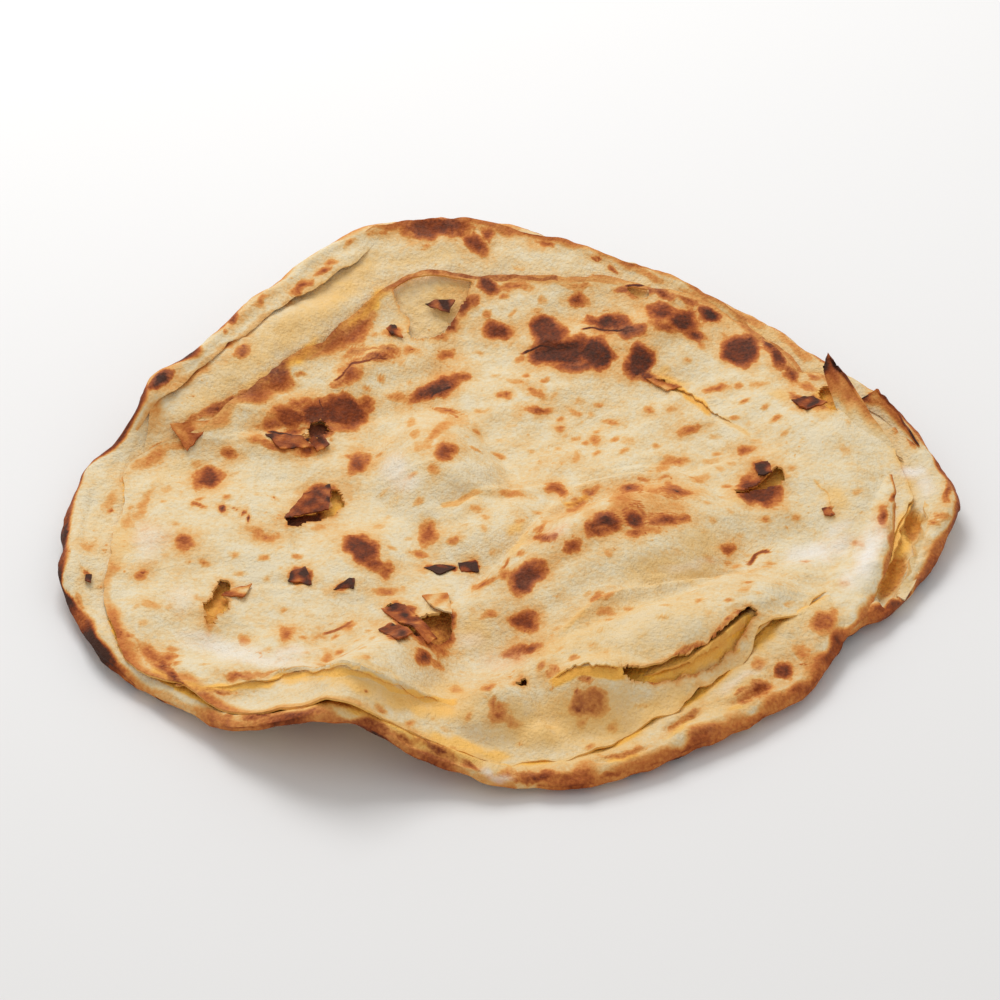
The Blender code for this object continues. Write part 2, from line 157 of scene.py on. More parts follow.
def around(table, column, angle):
    """A smooth closed curve through one column of a table, read at the given angles."""
    rows = sorted(table)
    knots = np.array([row[0] for row in rows], float)
    values = np.array([row[column] for row in rows], float)
    knots = np.concatenate((knots[-2:] - TURN, knots, knots[:2] + TURN))
    values = np.concatenate((values[-2:], values, values[:2]))
    slopes = np.gradient(values, knots)
    at = np.mod(angle, TURN)
    i = np.searchsorted(knots, at, side="right") - 1
    span = knots[i + 1] - knots[i]
    t = (at - knots[i]) / span
    near = (1 + 2 * t) * (1 - t) ** 2 * values[i] + t * (1 - t) ** 2 * slopes[i] * span
    far = t * t * (3 - 2 * t) * values[i + 1] + t * t * (t - 1) * slopes[i + 1] * span
    return near + far


def smooth_step(value):
    t = np.clip(value, 0, 1)
    return t * t * (3 - 2 * t)


def polar(x, y):
    return np.degrees(np.arctan2(y, x)), np.hypot(x, y)


def plan_point(angle, reach):
    return reach * np.cos(np.radians(angle)), reach * np.sin(np.radians(angle))


print("rim to the right and at the far side:", around(RIM, 1, np.array([0.0, 101.0])))

# %% [markdown]
# ## Uneven like dough
#
# Nothing in hand-stretched dough is even. A sum of plane waves in random directions gives a smooth
# random field that costs little and is the same each run, because its random draws are seeded.
# Long waves bend the sheets, and short ones ravel their edges.

# %% Random waves
MM_PER_DEGREE = 2.0
# Share and wavelength, in millimetres, of the bites, nicks and fray of a torn edge.
RAVEL_WAVES = ((0.42, 22.0), (0.16, 8.0), (0.05, 3.6))


def ripple(x, y, wavelength, seed, count=9):
    """Even unevenness of about unit size."""
    rng = np.random.default_rng(seed)
    total = np.zeros_like(x)
    for turn, phase, stretch in rng.uniform((0, 0, 0.7), (math.pi, 2 * math.pi, 1.4), (count, 3)):
        number = 2 * math.pi / (wavelength * stretch)
        total += np.sin(number * (x * math.cos(turn) + y * math.sin(turn)) + phase)
    return total * math.sqrt(2 / count)


def edge_way(angle):
    """Way along an edge in millimetres, near enough: a degree is about 2 mm long."""
    return np.mod(angle, TURN) * MM_PER_DEGREE


def edge_ripple(angle, wavelength, seed):
    along = edge_way(angle)
    return ripple(along, np.zeros_like(along), wavelength, seed)


def ravel(angle, size, seed):
    """In and out wander of a torn edge, in millimetres: long bites, short nicks and fine fray."""
    waves = [share * edge_ripple(angle, wave, seed + i) for i, (share, wave) in enumerate(RAVEL_WAVES)]
    return size * sum(waves)


print("a torn edge wanders:", np.round(ravel(np.arange(0.0, 10.0, 2.0), 1.0, 11), 2), "mm")

# %% [markdown]
# ## The shape of the bread
#
# The bread rests on its flat middle, and its rim lifts where the dough is bent. Steam has blown
# blisters between the layers. A blister is a dome on an oval plan; a hollow is the same, upside
# down. A fold is a step along a line: a ridge on its left and a crease on its right.

# %% Blisters and hollows
# Centre x, centre y, length, width, turn of the length, height.
SKIN_BLISTERS = {
    "round blister": (-19, 17, 40, 54, 10, 10.0),
    "long blister": (27, -27, 104, 48, 40, 11.0),
    "long blister's crest": (22, -15, 78, 26, 42, 5.0),
    "saddle between them": (-3, -10, 42, 27, 25, 5.5),
    "open blister": (36, -60, 112, 44, 27, 8.5),
    "open blister's lip": (52, -60, 54, 26, 25, 2.5),
    "crest of the wave": (-34, -76, 66, 30, 66, 6.5),
    "left swell": (-76, -4, 60, 76, 0, 2.6),
    "left mound": (-42, -24, 34, 34, 0, 3.2),
    "far ridge": (26, 66, 80, 36, 4, 2.6),
    "far bubble": (46, 77, 26, 14, 0, 1.8),
    "far left ridge": (-40, 60, 66, 26, 48, 3.0),
    "crease bubble": (-27, 55, 34, 11, 34, 2.0),
    "right fan": (88, 24, 74, 44, -56, 4.0),
    "right bubble": (72, -2, 24, 22, 0, 1.8),
    "lower left cushion": (-84, -74, 40, 18, -34, 2.0),
    "low left swell": (-64, -66, 34, 26, 20, 3.2),
    "left crust": (-66, 38, 34, 14, 24, 1.8),
    "left lower crust": (-62, 27, 34, 12, 12, 1.6),
    "hill by the left hole": (-57, 2, 24, 16, 30, 1.6),
    "near dome": (-4, -88, 24, 22, 0, 5.6),
    "near cushion": (25, -82, 34, 22, 12, 5.6),
    "near cushion's end": (46, -77, 26, 12, 24, 2.4),
    "lobe by the near dome": (9, -95, 14, 9, 20, 2.0),
}
SKIN_HOLLOWS = {
    "lower left valley": (-75, -60, 50, 24, -38, -3.6),
    "trough beside the wave": (-10, -66, 50, 34, 50, -3.0),
    "centre trough": (4, 28, 70, 40, 20, -2.2),
    "right trough": (80, -16, 56, 26, -10, -2.6),
    "crease under the long blister": (40, -44, 76, 12, 34, -2.6),
    "left trough": (-52, 4, 30, 50, 70, -1.8),
    "dip by the saddle": (8, -22, 15, 10, 30, -2.6),
    "crease beside the near dome": (10, -86, 26, 6, 105, -1.8),
    "crease before the near dome": (-8, -98, 20, 5, -20, -1.0),
}
MIDDLE_BLISTERS = {
    "swell under the fold": (104, 34, 30, 16, -60, 1.2),
    "swell at the far left": (-68, 63, 84, 22, 47, 2.0),
    "ridge at the far left": (-58, 76, 50, 9, 40, 0.9),
    "floor of the mouth": (48, -66, 90, 30, 32, 6.3),
}
LOWEST_SWELLS = {
    "band beside the mouth": (72, -56, 78, 26, 49, 3.8),
}
DOME_POWER = 1.3


def in_oval(right, up, length, width, turn):
    """Place along and across a turned oval, from its centre, as shares of its half sizes."""
    c, s = math.cos(math.radians(turn)), math.sin(math.radians(turn))
    return (right * c + up * s) / (length / 2), (up * c - right * s) / (width / 2)


def oval(x, y, shape):
    """Squared distance from the centre of an oval, 1 on its outline."""
    along, across = in_oval(x - shape[0], y - shape[1], *shape[2:5])
    return along**2 + across**2


def domes(x, y, shapes):
    return sum(s[5] * np.clip(1 - oval(x, y, s), 0, 1) ** DOME_POWER for s in shapes.values())


def skin_swell(x, y):
    return domes(x, y, SKIN_BLISTERS) + domes(x, y, SKIN_HOLLOWS)


print("highest blister:", max(s[5] for s in SKIN_BLISTERS.values()), "mm")

# %% Heights of the sheets over the table
BASE_THICK = 3.9
SHEET_STEP = 1.25
SKIN_THICK = 0.7
FLAT_SHARE, LIFTED_SHARE, LIFT_POWER = 0.46, 1.06, 1.1
BEAD_HEIGHT, BEAD_INSET, BEAD_WIDTH = 1.1, 4.0, 3.4
FREE_WIDTH, DRAPE_WIDTH = 4, 7


def underside(angle, share):
    """Height of the underside: flat in the middle and lifted towards the rim."""
    lifted = smooth_step((share - FLAT_SHARE) / (LIFTED_SHARE - FLAT_SHARE))
    return around(RIM, 2, angle) * lifted**LIFT_POWER


def broad_waves(x, y):
    """Long unevenness that all sheets share."""
    return 0.4 * ripple(x, y, 34.0, 5)


def dough_top(x, y):
    """Top of the lowest sheet."""
    angle, reach = polar(x, y)
    rim = around(RIM, 1, angle)
    free = 1 - smooth_step((around(MIDDLE_EDGE, 1, angle) - reach) / FREE_WIDTH)
    bead = BEAD_HEIGHT * np.exp(-(((rim - reach - BEAD_INSET) / BEAD_WIDTH) ** 2)) * free
    swell = domes(x, y, LOWEST_SWELLS)
    return underside(angle, reach / rim) + BASE_THICK + bead + swell + broad_waves(x, y)


def middle_ground(x, y):
    """Top of the middle sheet without its curls and its grain."""
    return dough_top(x, y) + SHEET_STEP + domes(x, y, MIDDLE_BLISTERS)


def skin_ground(x, y):
    """Top of the skin before its creases, tears and curling edges are added."""
    angle, reach = polar(x, y)
    steps = 1 + smooth_step((around(MIDDLE_EDGE, 1, angle) - reach) / DRAPE_WIDTH)
    low = underside(angle, reach / around(RIM, 1, angle)) + BASE_THICK + steps * SHEET_STEP
    return low + skin_swell(x, y) + broad_waves(x, y)


where = np.array([[0.0, 0.0], [-19.0, 17.0], [36.0, -60.0]])
print("skin height at the hub and on two blisters:", np.round(skin_ground(*where.T), 1), "mm")

# %% [markdown]
# ## From a pixel to a place on the bread
#
# A crack or a brown spot is easiest to read as pixels. The line of sight through a pixel meets the
# skin where its height and the skin's height agree. Starting from a guess and correcting it a few
# times finds that place.

# %% Sight lines
FIRST_HEIGHT = 12.0
ROUNDS = 8


def place_of(pixels, ground=skin_ground):
    """Plan places, in millimetres from the hub, that pixels of the photo show."""
    pixels = np.atleast_2d(np.array(pixels, float))
    aside = (pixels[:, 0:1] - PHOTO_SIDE / 2) / FOCAL_PIXELS * np.array([1.0, 0, 0])
    upward = (pixels[:, 1:2] - PHOTO_SIDE / 2) / FOCAL_PIXELS * UP
    sight = aside - upward - BACK
    height = np.full(len(pixels), FIRST_HEIGHT)
    for _ in range(ROUNDS):
        seen = EYE + sight * ((height - EYE[2]) / sight[:, 2])[:, None]
        height = 0.5 * height + 0.5 * ground(seen[:, 0], seen[:, 1])
    return seen[:, :2]


def photo_pixel(points):
    """The pixels where points, in millimetres from the hub, show in the photo."""
    away = points - EYE
    depth = -(away @ BACK)
    across = PHOTO_SIDE / 2 + FOCAL_PIXELS * away[:, 0] / depth
    down = PHOTO_SIDE / 2 - FOCAL_PIXELS * (away @ UP) / depth
    return np.stack((across, down), axis=1)


print("the hub shows at pixel", np.round(photo_pixel(np.array([[0.0, 0.0, 10.0]]))[0]))

# %% Folds and creases
# Pixels along each fold from left to right, then height and reach on its near side, and height
# and reach on its far side, in millimetres.
FOLDS = {
    "foot of the round blister": (
        ((430, 508), (443, 505), (466, 499), (483, 487)), 0.6, 5, -2.4, 4),
    "far edge of the saddle": (
        ((474, 494), (483, 487), (499, 486), (525, 487), (544, 483), (558, 483), (569, 490)),
        1.0, 7, -1.5, 5),
    "far edge of the long blister": (
        ((470, 593), (487, 580), (510, 553), (531, 529), (544, 514), (558, 502), (569, 491),
         (588, 481), (619, 477), (653, 474), (680, 471)), 2.2, 9, -1.6, 5),
    "far edge of the open blister": (
        ((546, 646), (560, 632), (573, 619), (588, 606), (607, 595), (625, 589), (648, 587),
         (680, 583), (715, 578), (752, 570)), 2.2, 9, -1.6, 6),
    "top of the round blister": (
        ((424, 410), (437, 408), (451, 412), (462, 417), (475, 423), (490, 433)), 1.0, 6, -0.8, 4),
    "edge of the overhang": (((649, 383), (677, 394), (710, 416), (740, 431), (766, 446)), 1.2, 6, -0.9, 4),
    "fan line": (((766, 446), (792, 455), (812, 470)), 0.4, 5, -0.7, 4),
    "crack line at the right": (((744, 566), (758, 555), (774, 550)), 0.5, 3, -0.6, 2),
    "left valley line": (((154, 559), (165, 595), (173, 620), (191, 648)), -0.9, 5, 0.6, 6),
    "floury valley": (((191, 640), (225, 660), (270, 668), (318, 664)), 1.2, 8, -1.2, 8),
    "start of the wave sheet": (((236, 590), (262, 588), (290, 586), (322, 580)), 1.0, 7, -0.8, 5),
    "wave line": (((300, 656), (322, 645), (352, 628), (368, 620)), 1.2, 6, -0.8, 5),
    "free edge of the wave": (
        ((262, 683), (280, 677), (303, 675), (330, 675), (353, 674), (372, 679), (393, 689),
         (413, 696), (433, 701), (461, 702)), -0.9, 8, 1.5, 6),
    "left of the mound": (((290, 525), (293, 545), (300, 566)), 0.6, 5, -0.9, 4),
    "quiet line behind the middle": (((506, 373), (545, 384), (590, 391)), 0.7, 6, -0.5, 5),
    "line behind the long blister": (((600, 470), (660, 463), (706, 486), (728, 505)), 0.5, 6, -0.8, 5),
    "line at the right hollow": (((690, 520), (706, 538), (700, 556)), 0.6, 6, -0.8, 5),
    "left fold of the far ridge": (((346, 362), (376, 350), (400, 348)), 0.6, 4, -0.5, 4),
    "lower fold of the far ridge": (((330, 384), (354, 366), (388, 362)), 0.7, 4, -0.5, 4),
    "dark lobe's foot": (
        ((517, 356), (530, 350), (545, 347), (560, 348), (576, 346), (590, 352)), -0.5, 4, 1.7, 5),
    "dark ridge": (((574, 330), (585, 325), (600, 325), (620, 327), (642, 329)), 1.5, 4, -0.9, 4),
    "far end of the overhang": (
        ((620, 352), (636, 368), (652, 377), (668, 380), (690, 390)), 1.2, 5, -1.0, 4),
    "crease spot": (((408, 404), (428, 398), (444, 388), (462, 376)), 0.4, 5, -0.3, 5),
    "split of the left patch": (((316, 392), (321, 408), (323, 424)), -0.7, 4, 0.9, 5),
    "folded edge at the left patch": (
        ((262, 432), (284, 431), (300, 438), (320, 434), (344, 430)), 1.3, 5, -0.8, 4),
    "far right flake's edge": (((655, 305), (680, 312), (700, 322), (708, 332)), 0.8, 3, -0.6, 3),
    "low left line": (((120, 600), (138, 640), (170, 668), (206, 682)), -0.5, 4, 0.8, 5),
    "left rim line": (((126, 545), (132, 505), (150, 470)), 0.5, 5, -0.7, 4),
}
# The mouth of the open blister: angle, distance of its far lip, distance of its near lip.
MOUTH = (
    (290.5, 83.4, 85.5), (292.5, 83.7, 86.0), (295.0, 84.0, 86.8), (299.0, 84.3, 87.6),
    (303.0, 84.9, 88.6), (308.0, 85.0, 88.8), (312.0, 84.6, 88.2), (316.0, 83.6, 87.0),
    (319.5, 82.8, 86.2), (321.5, 83.8, 86.0),
)
MOUTH_FOLD = (-1.0, 5, 2.2, 8)
# Width over which a fold fades at its ends, how strong it starts, and width of its turn.
FOLD_ENDS, FOLD_START, FOLD_TURN = 10.0, 0.1, 2.0
FAR_AWAY = 1e9


def from_piece(x, y, start, end):
    """Distance from a straight piece of line, and which places lie on its left."""
    (ax, ay), (ux, uy) = start, (end[0] - start[0], end[1] - start[1])
    t = np.clip(((x - ax) * ux + (y - ay) * uy) / (ux * ux + uy * uy), 0, 1)
    return np.hypot(x - ax - t * ux, y - ay - t * uy), ux * (y - ay) - uy * (x - ax) >= 0


def from_line(x, y, line):
    """Signed distance from a line through plan places, positive on its left side."""
    least, side = np.full(x.shape, FAR_AWAY), np.ones(x.shape)
    for start, end in zip(line[:-1], line[1:]):
        gap, left = from_piece(x, y, start, end)
        side = np.where(gap < least, np.where(left, 1.0, -1.0), side)
        least = np.minimum(least, gap)
    return least * side


FOLD_LINES = [(place_of(row[0]), *row[1:]) for row in FOLDS.values()]
mouth_middle = [plan_point(angle, 0.5 * (far + near)) for angle, far, near in MOUTH]
FOLD_LINES.append((np.array(mouth_middle), *MOUTH_FOLD))


def folds(x, y):
    """Height that all folds add."""
    total = np.zeros_like(x)
    for line, near, near_reach, far, far_reach in FOLD_LINES:
        gap = from_line(x, y, line)
        ends = [np.hypot(x - end[0], y - end[1]) for end in (line[0], line[-1])]
        fade = smooth_step(np.minimum(*ends) / FOLD_ENDS + FOLD_START)
        side = smooth_step(gap / FOLD_TURN + 0.5)
        swing = (1 - side) * near * np.exp(-np.abs(gap) / near_reach)
        total += fade * (swing + side * far * np.exp(-np.abs(gap) / far_reach))
    return total


def skin_relief(x, y):
    return skin_ground(x, y) + folds(x, y)


print("folds:", len(FOLDS))

# %% [markdown]
# ## Tears
#
# Where a blister has burst, the skin has a hole with a ragged outline and the sheet below shows.
# A real hole is cut in the mesh: points near the outline move onto it, so that the cut is clean,
# and the faces inside go. Each outline is a few pixels read round the hole.

# %% Outlines of the tears
# The outline's pixels, and how far the skin curls up beside the hole.
TEARS = {
    "far window": (((392, 288), (402, 279), (420, 272), (440, 268), (468, 277), (473, 282),
                    (470, 292), (462, 306), (453, 322), (444, 333), (432, 339), (417, 340),
                    (409, 335), (409, 322), (400, 311), (395, 299)), 0.4),
    "far right window": (((624, 287), (634, 284), (646, 284), (650, 290), (648, 299), (636, 298),
                          (627, 294)), 0.4),
    "left patch": (((303, 438), (311, 425), (322, 423), (331, 432), (320, 440), (312, 444)), 0.8),
    "left hole": (((280, 519), (300, 516), (322, 513), (332, 507), (330, 490), (335, 485),
                   (341, 499), (343, 508), (337, 514), (321, 521), (304, 525), (288, 528)), 0.6),
    "low left hole": (((220, 580), (234, 586), (223, 596), (230, 600), (227, 611), (217, 617),
                       (210, 633), (206, 628), (203, 610), (213, 597)), 1.0),
    "broken crust": (((383, 609), (398, 606), (417, 619), (432, 617), (447, 612), (454, 622),
                      (450, 640), (437, 650), (424, 641), (408, 636), (396, 622)), 1.2),
    "small hole": (((513, 685), (520, 677), (527, 680), (521, 687)), 0.3),
    "right window": (((731, 493), (746, 493), (758, 486), (768, 478), (771, 467), (781, 472),
                      (785, 481), (778, 487), (768, 489), (757, 493), (747, 497), (738, 497)), 1.2),
    "window by the flap": (((819, 392), (826, 388), (831, 389), (838, 411), (832, 414), (824, 408)), 0.5),
}
MOUTH_CURL = 0.3
# How far a tear's outline wanders, and how long the wander's waves are.
TEAR_WANDER, TEAR_WAVE = 0.25, 5.0
EDGE_KEPT = 2.0


def from_outline(x, y, outline):
    """Distance from a closed outline, negative inside it."""
    least, inside = np.full(x.shape, FAR_AWAY), np.zeros(x.shape, bool)
    for start, end in zip(outline, np.roll(outline, -1, axis=0)):
        least = np.minimum(least, from_piece(x, y, start, end)[0])
        rise = (end[1] - start[1]) or 1e-9
        crosses = (start[1] > y) != (end[1] > y)
        inside ^= crosses & (x < start[0] + (y - start[1]) * (end[0] - start[0]) / rise)
    return np.where(inside, -least, least)


TEAR_OUTLINES = [(place_of(pixels, skin_relief), lift) for pixels, lift in TEARS.values()]
mouth_far = [plan_point(angle, far) for angle, far, _ in MOUTH]
mouth_near = [plan_point(angle, near) for angle, _, near in reversed(MOUTH)]
TEAR_OUTLINES.append((np.array(mouth_far + mouth_near), MOUTH_CURL))


def torn(x, y):
    """Distance from the nearest tear, negative inside it, and the curl wanted beside it."""
    nearest, curl = np.full(x.shape, FAR_AWAY), np.zeros(x.shape)
    wander_x = x + TEAR_WANDER * ripple(x, y, TEAR_WAVE, 71)
    wander_y = y + TEAR_WANDER * ripple(x, y, TEAR_WAVE, 72)
    for outline, lift in TEAR_OUTLINES:
        gap = from_outline(wander_x, wander_y, outline)
        curl = np.where(gap < nearest, lift, curl)
        nearest = np.minimum(nearest, gap)
    angle, reach = polar(x, y)
    past = EDGE_KEPT - (around(SKIN_EDGE, 1, angle) - reach)
    return np.maximum(nearest, past), curl


print("tears:", len(TEARS))

# %% [markdown]
# ## Helpers for thin sheets
#
# Every sheet starts as a flat grid from one bmesh operator. Its points are then moved: first to
# their plan places, then up to their heights. Solidify gives the sheet its thickness downwards.
# The finished mesh is placed in metres, and its object stays at the origin.

# %% Making and finishing meshes
bread = bpy.data.collections.new("paratha look")
bpy.context.scene.collection.children.link(bread)


def read_points(bm):
    return np.array([vertex.co for vertex in bm.verts])


def write_points(bm, points):
    for vertex, point in zip(bm.verts, points.tolist()):
        vertex.co = point


def new_grid(columns, rows):
    """A flat grid, and the place of each of its points from 0 to 1 along both sides."""
    bm = bmesh.new()
    bmesh.ops.create_grid(bm, x_segments=columns, y_segments=rows, size=0.5)
    flat = read_points(bm) + 0.5
    return bm, flat[:, 0], flat[:, 1]


def face_up(bm):
    bmesh.ops.recalc_face_normals(bm, faces=bm.faces)
    if sum(face.normal.z for face in bm.faces) < 0:
        bmesh.ops.reverse_faces(bm, faces=bm.faces)


def relief(x, y, *waves):
    """Sum of ripples, told by their height, wavelength, seed and number of waves."""
    return sum(height * ripple(x, y, *rest) for height, *rest in waves)


def square_to_disc(a, b):
    """Even map from a square of side 2 to a disc of radius 1, keeping rows close to rings."""
    wide = np.abs(a) > np.abs(b)
    radius = np.where(wide, a, b)
    other = np.where(wide, b, a)
    turn = np.pi / 4 * np.divide(other, radius, out=np.zeros_like(a), where=radius != 0)
    turn = np.where(wide, turn, np.pi / 2 - turn)
    return radius * np.cos(turn), radius * np.sin(turn)


def finish(name, bm, thickness=0.0, smooth_angle=50):
    """Gives a sheet its thickness, in metres and in the frame, as an object at the origin."""
    bmesh.ops.translate(bm, vec=(*HUB, 0), verts=bm.verts)
    bmesh.ops.scale(bm, vec=(MM, MM, MM), verts=bm.verts)
    mesh = bpy.data.meshes.new(name)
    bm.to_mesh(mesh)
    bm.free()
    piece = bpy.data.objects.new(name, mesh)
    bread.objects.link(piece)
    if thickness:
        wall = piece.modifiers.new("thickness", "SOLIDIFY")
        wall.thickness = thickness * MM
        wall.offset = -1
        bpy.context.view_layer.update()
        graph = bpy.context.evaluated_depsgraph_get()
        piece.data = bpy.data.meshes.new_from_object(piece.evaluated_get(graph))
        piece.modifiers.clear()
    piece.data.shade_smooth()
    piece.data.set_sharp_from_angle(angle=math.radians(smooth_angle))
    print(name, "triangles:", sum(len(face.vertices) - 2 for face in piece.data.polygons))
    return piece


print("pieces go to the collection", bread.name)

# %% [markdown]
# ## The top skin
#
# The skin is the star of this bread, so it gets the finest mesh. A square grid bent into a disc has
# cells of nearly the same size everywhere, which a fan of spokes would not.

# %% Lay out the skin
SKIN_CELLS = 218
# Only the outermost cells follow the torn edge.
RAVEL_POWER = 30
# Angles between which the edge is more ragged, and degrees over which that starts.
RAGGED_FROM, RAGGED_TO, RAGGED_START = 256, 316, 10


def skin_ravel(angle):
    """Wander of the skin's torn edge, more ragged on the near side."""
    at = np.mod(angle, TURN)
    near = smooth_step((at - RAGGED_FROM) / RAGGED_START) * smooth_step((RAGGED_TO - at) / RAGGED_START)
    return ravel(angle, 1.0, 21) + near * 0.7 * np.clip(edge_ripple(angle, 13.0, 29), -0.4, 1.2)


skin_bm = bmesh.new()
bmesh.ops.create_grid(skin_bm, x_segments=SKIN_CELLS, y_segments=SKIN_CELLS, size=1)
square = read_points(skin_bm)
disc_x, disc_y = square_to_disc(square[:, 0], square[:, 1])
skin_angle, skin_share = polar(disc_x, disc_y)
skin_rim = around(SKIN_EDGE, 1, skin_angle)
skin_reach = skin_share * skin_rim + skin_share**RAVEL_POWER * skin_ravel(skin_angle)
skin_x, skin_y = plan_point(skin_angle, skin_reach)
print("skin points:", len(square), "mean edge:", round(float(skin_rim.mean()), 1), "mm")

# %% Cut the tears
# Points this near an outline move onto it, along a slope measured over a small step.
SNAP, SLOPE_STEP = 0.55, 0.05
OUTERMOST = 0.999

gap, _ = torn(skin_x, skin_y)
slope_x = (torn(skin_x + SLOPE_STEP, skin_y)[0] - gap) / SLOPE_STEP
slope_y = (torn(skin_x, skin_y + SLOPE_STEP)[0] - gap) / SLOPE_STEP
near_cut = (np.abs(gap) < SNAP) & (skin_share < OUTERMOST)
skin_x = np.where(near_cut, skin_x - gap * slope_x, skin_x)
skin_y = np.where(near_cut, skin_y - gap * slope_y, skin_y)
gap = np.where(near_cut, 0.0, gap)
for vertex, value in zip(skin_bm.verts, gap.tolist()):
    vertex.tag = value < -1e-6
lost = [face for face in skin_bm.faces if any(vertex.tag for vertex in face.verts)]
print("faces cut out of the skin:", len(lost))

# %% Raise the skin
SMOOTHINGS = 2
SKIN_GRAIN = ((0.16, 12.0, 6, 14), (0.07, 5.0, 7, 14))
# Height of the ridges and the threads among the wrinkles, and reach of curls in from an edge.
RIDGE, THREAD = 0.34, 0.2
TEAR_CURL_REACH, CURL_REACH, CURL_UNEVEN = 2.6, 6.5, 0.35


def wrinkles(x, y):
    """Thin soft ridges, as on any skin that has puffed up and sunk again."""
    ridges = np.clip(1 - 1.9 * np.abs(ripple(x + 0.5 * y, y - 0.3 * x, 30.0, 8)), 0, 1) ** 2
    threads = np.clip(1 - 2.2 * np.abs(ripple(x, 1.6 * y, 17.0, 9)), 0, 1) ** 2
    return RIDGE * ridges + THREAD * threads * np.clip(0.4 + ripple(x, y, 50.0, 10), 0, 1)


def skin_top(x, y):
    """Top of the skin with all its relief but the curling outer edge."""
    gap, curl = torn(x, y)
    beside = curl * np.exp(-np.clip(gap, 0, None) / TEAR_CURL_REACH)
    return skin_relief(x, y) + beside + relief(x, y, *SKIN_GRAIN) + wrinkles(x, y)


def edge_curl(angle, inset, table, seed, reach=CURL_REACH):
    """Height that a free edge gains by curling up, uneven along the edge."""
    uneven = 1 + CURL_UNEVEN * edge_ripple(angle, 16.0, seed)
    return around(table, 2, angle) * uneven * np.exp(-np.clip(inset, 0, None) / reach)


skin_inset = (1 - skin_share) * skin_rim
skin_z = skin_top(skin_x, skin_y) + edge_curl(skin_angle, skin_inset, SKIN_EDGE, 23)
write_points(skin_bm, np.stack((skin_x, skin_y, skin_z), axis=1))
bmesh.ops.delete(skin_bm, geom=lost, context="FACES")
loose = [vertex for vertex in skin_bm.verts if not vertex.link_faces]
bmesh.ops.delete(skin_bm, geom=loose, context="VERTS")
for _ in range(SMOOTHINGS):
    bmesh.ops.smooth_vert(skin_bm, verts=skin_bm.verts, factor=0.5, use_axis_z=True)
skin = finish("top_skin", skin_bm, SKIN_THICK)

# %% [markdown]
# ## The middle sheet
#
# The middle sheet shows between the skin's edge and the rim, where it has two bubbles of its own.
# Most of it is hidden, so it is a ring: a long grid bent round until its ends meet and are merged.

# %% Ring sheets
SAME_PLACE = 0.01


def ring_sheet(name, angles, inner, outer, height, around_cells, across_cells, thickness):
    """A band between two distances from the hub, raised to a height over its plan."""
    bm, along, across = new_grid(around_cells, across_cells)
    angle = angles[0] + (angles[1] - angles[0]) * along
    low, high = inner(angle), outer(angle)
    x, y = plan_point(angle, low + (high - low) * across)
    z = height(x, y, angle, across, high - low)
    write_points(bm, np.stack((x, y, z), axis=1))
    if angles[1] - angles[0] == TURN:
        bmesh.ops.remove_doubles(bm, verts=bm.verts, dist=SAME_PLACE)
    face_up(bm)
    return finish(name, bm, thickness)


print("points nearer than", SAME_PLACE, "mm are merged")

# %% The middle sheet
MIDDLE_TUCK = 34.0
CLEAR = 0.35
MIDDLE_GRAIN = ((0.14, 9.0, 15, 12), (0.07, 4.5, 16, 12))
WINDOW_FLOOR = (-26, 86, 34, 34, 0)
WINDOW_CRUMB = (0.22, 3.4, 20, 12)
# A lower sheet gives way where the skin lies on it: from just outside the skin's edge inwards.
PRESS_START, PRESS_WIDTH = 1.5, 5


def middle_rim(angle):
    return around(MIDDLE_EDGE, 1, angle) + ravel(angle, 0.8, 11)


def pressed(inside):
    """0 where a sheet lies free and 1 where the skin presses on it."""
    return smooth_step((inside + PRESS_START) / PRESS_WIDTH)


def middle_height(x, y, angle, across, width):
    own = middle_ground(x, y)
    own += edge_curl(angle, (1 - across) * width, MIDDLE_EDGE, 13, reach=5.0)
    own += relief(x, y, *MIDDLE_GRAIN)
    own += relief(x, y, WINDOW_CRUMB) * smooth_step(1.4 - oval(x, y, WINDOW_FLOOR))
    under = skin_relief(x, y) - SKIN_THICK - CLEAR
    squeeze = pressed(around(SKIN_EDGE, 1, angle) - np.hypot(x, y))
    return np.where(squeeze > 0, own + squeeze * np.minimum(under - own, 0), own)


middle = ring_sheet(
    "middle_sheet", (0, TURN), lambda angle: around(SKIN_EDGE, 1, angle) - MIDDLE_TUCK, middle_rim,
    middle_height, around_cells=800, across_cells=46, thickness=0.8,
)

# %% [markdown]
# ## The lowest sheet and the rim
#
# The lowest sheet carries the others and turns up into the crusty rim. It is a grid bent into a
# closed ball: one end of the grid's rows shrinks to the middle of the top, the other end to the
# middle of the underside, and merging doubles closes both poles and the seam. More rows go where
# the surface shows, and few where the skin hides it.

# %% The lowest sheet
SECTORS = 800
HIDDEN_RINGS, SHOWN_RINGS, SIDE_RINGS, UNDER_RINGS = 24, 58, 16, 26
RIM_ROUNDING, RIM_LEVEL = 3.4, 0.45
SHOWN_SHARE = 0.66
LOWEST_GRAIN = ((0.12, 7.0, 17, 12), (0.07, 3.2, 18, 12))
# Well inside the skin's edge the sheet is tucked up under the skin, leaving room for the middle one.
TUCK_INSET, TUCK_WIDTH, TUCK_GAP, TUCK_SHARE = 14, 12, 1.1, 0.2
PRESS_GAP = 0.8
LEAST_THICK = 1.2

# Splits between the rim's thin layers: angle and distance at each end, and depth.
RIM_SPLITS = (
    (281, 106.0, 291, 105.0, 1.6), (293, 100.8, 302, 97.5, 1.8), (304, 100.6, 314, 101.8, 1.6),
    (222, 113.5, 233, 111.0, 1.4), (176, 117.5, 189, 119.0, 0.8), (252, 106.0, 268, 107.0, 1.5),
)
SPLIT_WIDTH, SPLIT_ENDS = 1.1, 4
